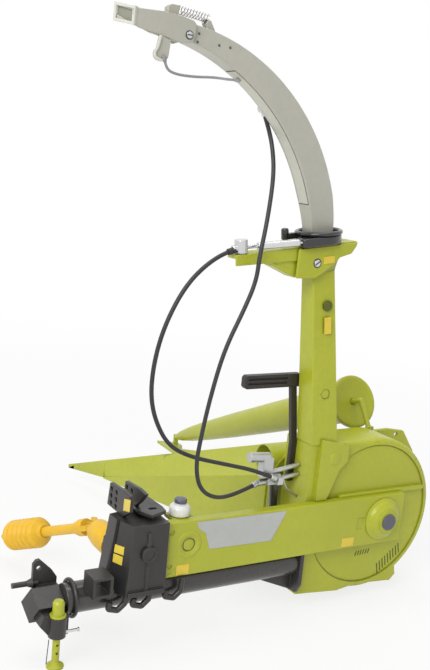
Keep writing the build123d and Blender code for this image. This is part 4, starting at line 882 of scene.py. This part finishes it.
# turned pieces: profiles of radius and height from a foot, along a direction
lathes = {
    "oil_bottle_body": {
        "foot": (3.75, 3.2, 21.66), "along": (0, 0, 1), "sides": 40, "crease": 45,
        "profile": ((1.7, 0), (1.85, 0.14), (1.85, 1.25), (1.78, 1.45), (1.55, 1.72), (1.2, 1.92),
                    (0.95, 2.0), (0.95, 2.2)),
        "look": "whitePlastic", "replaces": ("oil_bottle",)},
    "oil_bottle_cap": {
        "foot": (3.75, 3.2, 21.66), "along": (0, 0, 1), "sides": 40, "crease": 45,
        "profile": ((1.0, 2.12), (1.08, 2.2), (1.08, 2.72), (0.98, 2.86), (0.6, 2.92), (0.01, 2.93)),
        "look": "capGrey", "replaces": ("bottle_cap",)},
    # round divider: dished disc and a long cone that keeps its width to the nose
    "cone_divider_shell": {
        "foot": (48.5, 14.6, 36.0), "along": (0.023887, 0.925323, -0.378427), "sides": 72, "crease": 40,
        "profile": ((0.62, 0.45), (1.3, 0.45), (2.1, 0.47), (3.4, 0.3), (4.3, 0.08), (4.7, 0.0), (5.1, 0.02),
                    (5.3, 0.18), (5.3, 0.85), (5.15, 1.1), (4.6, 1.5), (4.15, 2.2), (3.98, 4.0), (3.72, 16.0),
                    (3.36, 32.0), (2.95, 48.0), (2.42, 62.0), (1.95, 70.0), (1.35, 76.0), (0.75, 79.2),
                    (0.36, 79.5), (0.36, 77.0), (0.62, 70.0)),
        "looped": True, "body": "cone", "look": "limePaint", "replaces": ("cone_divider",)},
    "foot_panel_boss": {
        "foot": (34.3, 1.16, 29.55), "along": (0, -1, 0), "sides": 40, "crease": 80,
        "profile": ((1.3, -0.1), (1.3, 0.045), (1.196, 0.09), (0.01, 0.09)), "look": "limePaint"},
    # dark disc on the chute: painted shade of a viewing hole
    "chute_hole_shade": {
        "foot": (28.87, 1.72, 57.62), "along": (0, -1, 0), "sides": 40, "crease": 80,
        "profile": ((0.95, -0.1), (0.95, 0.025), (0.874, 0.05), (0.01, 0.05)), "look": "slotShadeGreen"},
    # soft dish near the belt case's left end
    "belt_dish": {
        "foot": (4.3, 0.19, 17.4), "along": (0, -1, 0), "sides": 48, "crease": 80,
        "profile": ((2.45, 0.1), (2.4, 0.2), (2.25, 0.26), (2.05, 0.31), (1.85, 0.3), (1.6, 0.22),
                    (1.25, 0.12), (0.8, 0.06), (0.01, 0.04)),
        "look": "limePaint"},
    # raised ring on the headstock's rear face
    "headstock_ring": {
        "foot": (-3.8, -1.35, 17.4), "along": (0, -1, 0), "sides": 40, "crease": 50,
        "profile": ((1.38, 0), (1.38, 0.2), (1.3, 0.34), (1.05, 0.36), (0.9, 0.3), (0.86, 0.1)),
        "looped": True, "look": "blackPlastic"},
}


def makeLathe(name, look):
    bm = bmesh.new()
    turned(bm, look["foot"], look["along"], look["profile"], look["sides"], look.get("looped", False))
    newPiece(name, bm, look.get("body", "frame"), look["look"], crease=look["crease"],
             replaces=look.get("replaces", ()))


for name, look in lathes.items():
    makeLathe(name, look)

# round cover sunk in the drum's rim, with its level strip and the two rows of slots, drawn as thin dark
# plates of painted shade;
# a row holds the number of slots, its first middle, its step, the width and height of a slot and its turn
coverLook = {
    "middle": (44.9, 17.3), "frontY": 2.32, "thick": 0.23,
    "disc": ((0.01, 0), (13.55, 0), (13.62, 0.03), (13.62, 0.14), (13.5, 0.2), (12.9, 0.23), (0.01, 0.23)),
    "strip": (36.6, 57.3, 21.35, 22.15, 1.15),         # left, right, low, high, rear
    "slotRows": ((9, (48.85, 5.55), (0.62, 0.44), (0.26, 2.1), -12),
                 (6, (42.9, 9.45), (0.62, 0.02), (0.22, 1.0), 16)),
}


def makeCover(look):
    x, z = look["middle"]
    bm = bmesh.new()
    turned(bm, (x, look["frontY"], z), (0, -1, 0), look["disc"], 120)
    newPiece("drum_cover", bm, "frame", "limePaint", crease=50, replaces=("housing_cover",))
    left, right, low, high, rear = look["strip"]
    bm = bmesh.new()
    prism(bm, ((left, low), (right, low), (right, high), (left, high)), rear, look["frontY"] - 0.1)
    newPiece("cover_strip", bm, "frame", "limePaint", soften=0.14)
    face = look["frontY"] - look["thick"] - 0.005      # just proud of the disc
    bm = bmesh.new()
    for count, first, step, (wide, tall), turn in look["slotRows"]:
        angle = math.radians(turn)
        side = Vector((math.cos(angle), 0, -math.sin(angle))) * wide
        along = Vector((math.sin(angle), 0, math.cos(angle))) * tall
        for i in range(count):
            middle = Vector((first[0] + step[0] * i, face, first[1] + step[1] * i))
            plate(bm, middle - side / 2 - along / 2, side, along, 0.02)
    newPiece("cover_slot_shades", bm, "frame", "slotShadeGreen")


makeCover(coverLook)

# cup behind the round notch of the left divider: its wall and its bottom
cupLook = {"wallFoot": (27.2, 13.45, 26.0), "wall": ((2.95, 0.0), (2.95, 4.6), (2.72, 4.6), (2.72, 0.0)),
           "bottomFoot": (31.2, 13.45, 26.0), "bottom": ((2.9, 0.0), (2.9, 0.4))}


def makeCup(look):
    bm = bmesh.new()
    turned(bm, look["wallFoot"], (1, 0, 0), look["wall"], 40, looped=True)
    turned(bm, look["bottomFoot"], (1, 0, 0), look["bottom"], 40)
    newPiece("divider_cup", bm, "frame", "sheetPaint", crease=40)


makeCup(cupLook)

# ferrules where the hoses are pushed on: middle, direction and finish
ferrules = {
    "valve_low": ((18.9, 4.5, 24.7), (0.93, 0.33, 0.12), "castMetal"),
    "valve_high": ((21.7, 3.2, 26.6), (0.91, 0.05, -0.41), "castMetal"),
    "cylinder_port": ((9.2, 2.56, 66.6), (-0.95, -0.07, -0.30), "hoseRubber"),
}
ferruleProfile = ((0.5, 0), (0.55, 0.08), (0.55, 0.5), (0.47, 0.6), (0.55, 0.7), (0.55, 1.3), (0.5, 1.38))


def makeFerrule(name, middle, along, look):
    bm = bmesh.new()
    turned(bm, middle, along, ferruleProfile, 24)
    newPiece("ferrule_" + name, bm, "frame", look)


for name, look in ferrules.items():
    makeFerrule(name, *look)

# thin wire clip beside the stand
standClip = {"route": ((-19.78, -0.5, 5.2), (-19.9, -0.55, 3.4), (-20.05, -0.6, 1.1)), "radius": 0.07}


def makeClip(look):
    bm = bmesh.new()
    tube(bm, look["route"], look["radius"], 8)
    newPiece("stand_clip", bm, "stand", "deepBlack")


makeClip(standClip)

# flat patches by finish, each with a corner and two sides: dark ones as painted shade of a slot and a hollow
# beside the headstock's slanted corner, and blank yellow foils
patchThick = 0.05
patches = {
    "deepBlack": {
        "headstock_slot_shade": ((-8.97, 2.57, 13.91), (0.21, -0.44, -0.01), (0.78, -0.24, 8.84)),
        "headstock_hollow_shade": ((-8.75, 1.62, 10.43), (1.28, -2.64, 0.15), (0.08, 0.62, 4.86)),
    },
    "foilYellow": {
        "yellow_foil_belt_left": ((2.2, 0.0, 12.2), (2.5, 0, 0), (0, 0, 1.8)),
        "yellow_foil_belt_right": ((37.2, 0.0, 12.3), (2.9, 0, 0), (0, 0, 1.8)),
        "yellow_foil_chute": ((28.72, 1.66, 52.55), (1.5, 0, 0.2), (-0.4, 0, 3.0)),
        "yellow_foil_bracket": ((26.5, 1.21, 64.9), (2.3, 0, 0.3), (-0.2, 0, 1.3)),
        "yellow_foil_link_plate": ((-6.76, 3.3, 23.5), (0, -2.3, 0.6), (0, -0.1, 2.1)),
        "yellow_foil_headstock_high": ((-8.49, 2.08, 17.06), (0.88, -1.83, 0.07), (0.08, 0.04, 1.39)),
        "yellow_foil_headstock_low": ((-8.59, 2.04, 15.43), (0.83, -1.77, -0.05), (0.09, 0.03, 1.46)),
    },
}


def makePatch(name, corner, sideA, sideB, look):
    bm = bmesh.new()
    plate(bm, corner, sideA, sideB, patchThick)
    newPiece(name, bm, "frame", look)


for look, spots in patches.items():
    for name, spot in spots.items():
        makePatch(name, *spot, look)

# blank silver foil on the belt case
beltFoil = {"outline": ((5.4, 21.3), (23.8, 21.15), (21.0, 15.9), (8.3, 16.1), (7.4, 19.0), (5.9, 20.1)),
            "depths": (-0.05, 0.02)}


def makeBeltFoil(look):
    bm = bmesh.new()
    prism(bm, look["outline"], *look["depths"])
    newPiece("belt_foil", bm, "frame", "foilSilver")


makeBeltFoil(beltFoil)
print("details added")

# studio: pale floor, white surround, a key lamp high on the left and a weaker one above, as place, size and
# power; the floor turns from floorLift of its own white to all of it between two distances
studio = {
    "surround": 0.38,
    "lamps": {"keyLamp": ((-0.52, -0.36, 0.46), 0.40, 3.25), "topLamp": ((0.02, 0.02, 0.62), 0.40, 1.35)},
    "lampAim": (0, 0, 0.04),
    "floorColour": (0.90, 0.90, 0.90), "floorSize": 3,
    "floorLift": 0.8, "liftFrom": 0.07, "liftTo": 0.26,
}


def whiteToView(tree):
    path = addNode(tree, "ShaderNodeLightPath")
    seen = calculate(tree, "MAXIMUM", path.outputs["Is Camera Ray"], path.outputs["Is Glossy Ray"])
    return calculate(tree, "MAXIMUM", seen, path.outputs["Is Transmission Ray"])


def mixShaders(tree, factor, first, second, out):
    both = addNode(tree, "ShaderNodeMixShader")
    feed(tree, factor, both, 0)
    feed(tree, first.outputs[0], both, 1)
    feed(tree, second.outputs[0], both, 2)
    feed(tree, both.outputs[0], out, "Surface")


def makeSurround(look):
    world = bpy.data.worlds.new("studioSurround")
    bpy.context.scene.world = world
    world.use_nodes = True
    tree = world.node_tree
    tree.nodes.clear()
    out = addNode(tree, "ShaderNodeOutputWorld")
    light = addNode(tree, "ShaderNodeBackground")
    seen = addNode(tree, "ShaderNodeBackground")
    light.inputs["Strength"].default_value = look["surround"]
    for card in (light, seen):
        card.inputs["Color"].default_value = (1, 1, 1, 1)
    mixShaders(tree, whiteToView(tree), light, seen, out)


def makeLamp(name, spot, size, power):
    data = bpy.data.lights.new(name, "AREA")
    data.shape = "SQUARE"
    data.size = size
    data.energy = power
    lamp = bpy.data.objects.new(name, data)
    bpy.context.scene.collection.objects.link(lamp)
    lamp.location = spot
    lamp.rotation_euler = (Vector(spot) - Vector(studio["lampAim"])).to_track_quat("Z", "Y").to_euler()


def makeFloor(look):
    bm = bmesh.new()
    bmesh.ops.create_grid(bm, x_segments=8, y_segments=8, size=look["floorSize"])
    mesh = bpy.data.meshes.new("studioFloor")
    bm.to_mesh(mesh)
    bm.free()
    floor = bpy.data.objects.new("studioFloor", mesh)
    bpy.context.scene.collection.objects.link(floor)
    material = bpy.data.materials.new("studioFloor")
    material.use_nodes = True
    tree = material.node_tree
    tree.nodes.clear()
    out = addNode(tree, "ShaderNodeOutputMaterial")
    card = addNode(tree, "ShaderNodeBsdfDiffuse")
    card.inputs["Color"].default_value = (*look["floorColour"], 1)
    glow = addNode(tree, "ShaderNodeEmission")
    away = addNode(tree, "ShaderNodeVectorMath", operation="LENGTH")
    tree.links.new(addNode(tree, "ShaderNodeTexCoord").outputs["Object"], away.inputs[0])
    lift = ranged(tree, away.outputs["Value"], look["liftFrom"], look["liftTo"], look["floorLift"], 1.0)
    mixShaders(tree, calculate(tree, "MULTIPLY", whiteToView(tree), lift), card, glow, out)
    mesh.materials.append(material)


bpy.context.scene.view_settings.view_transform = "Standard"
makeSurround(studio)
for name, look in studio["lamps"].items():
    makeLamp(name, *look)
makeFloor(studio)
print("studio lit")
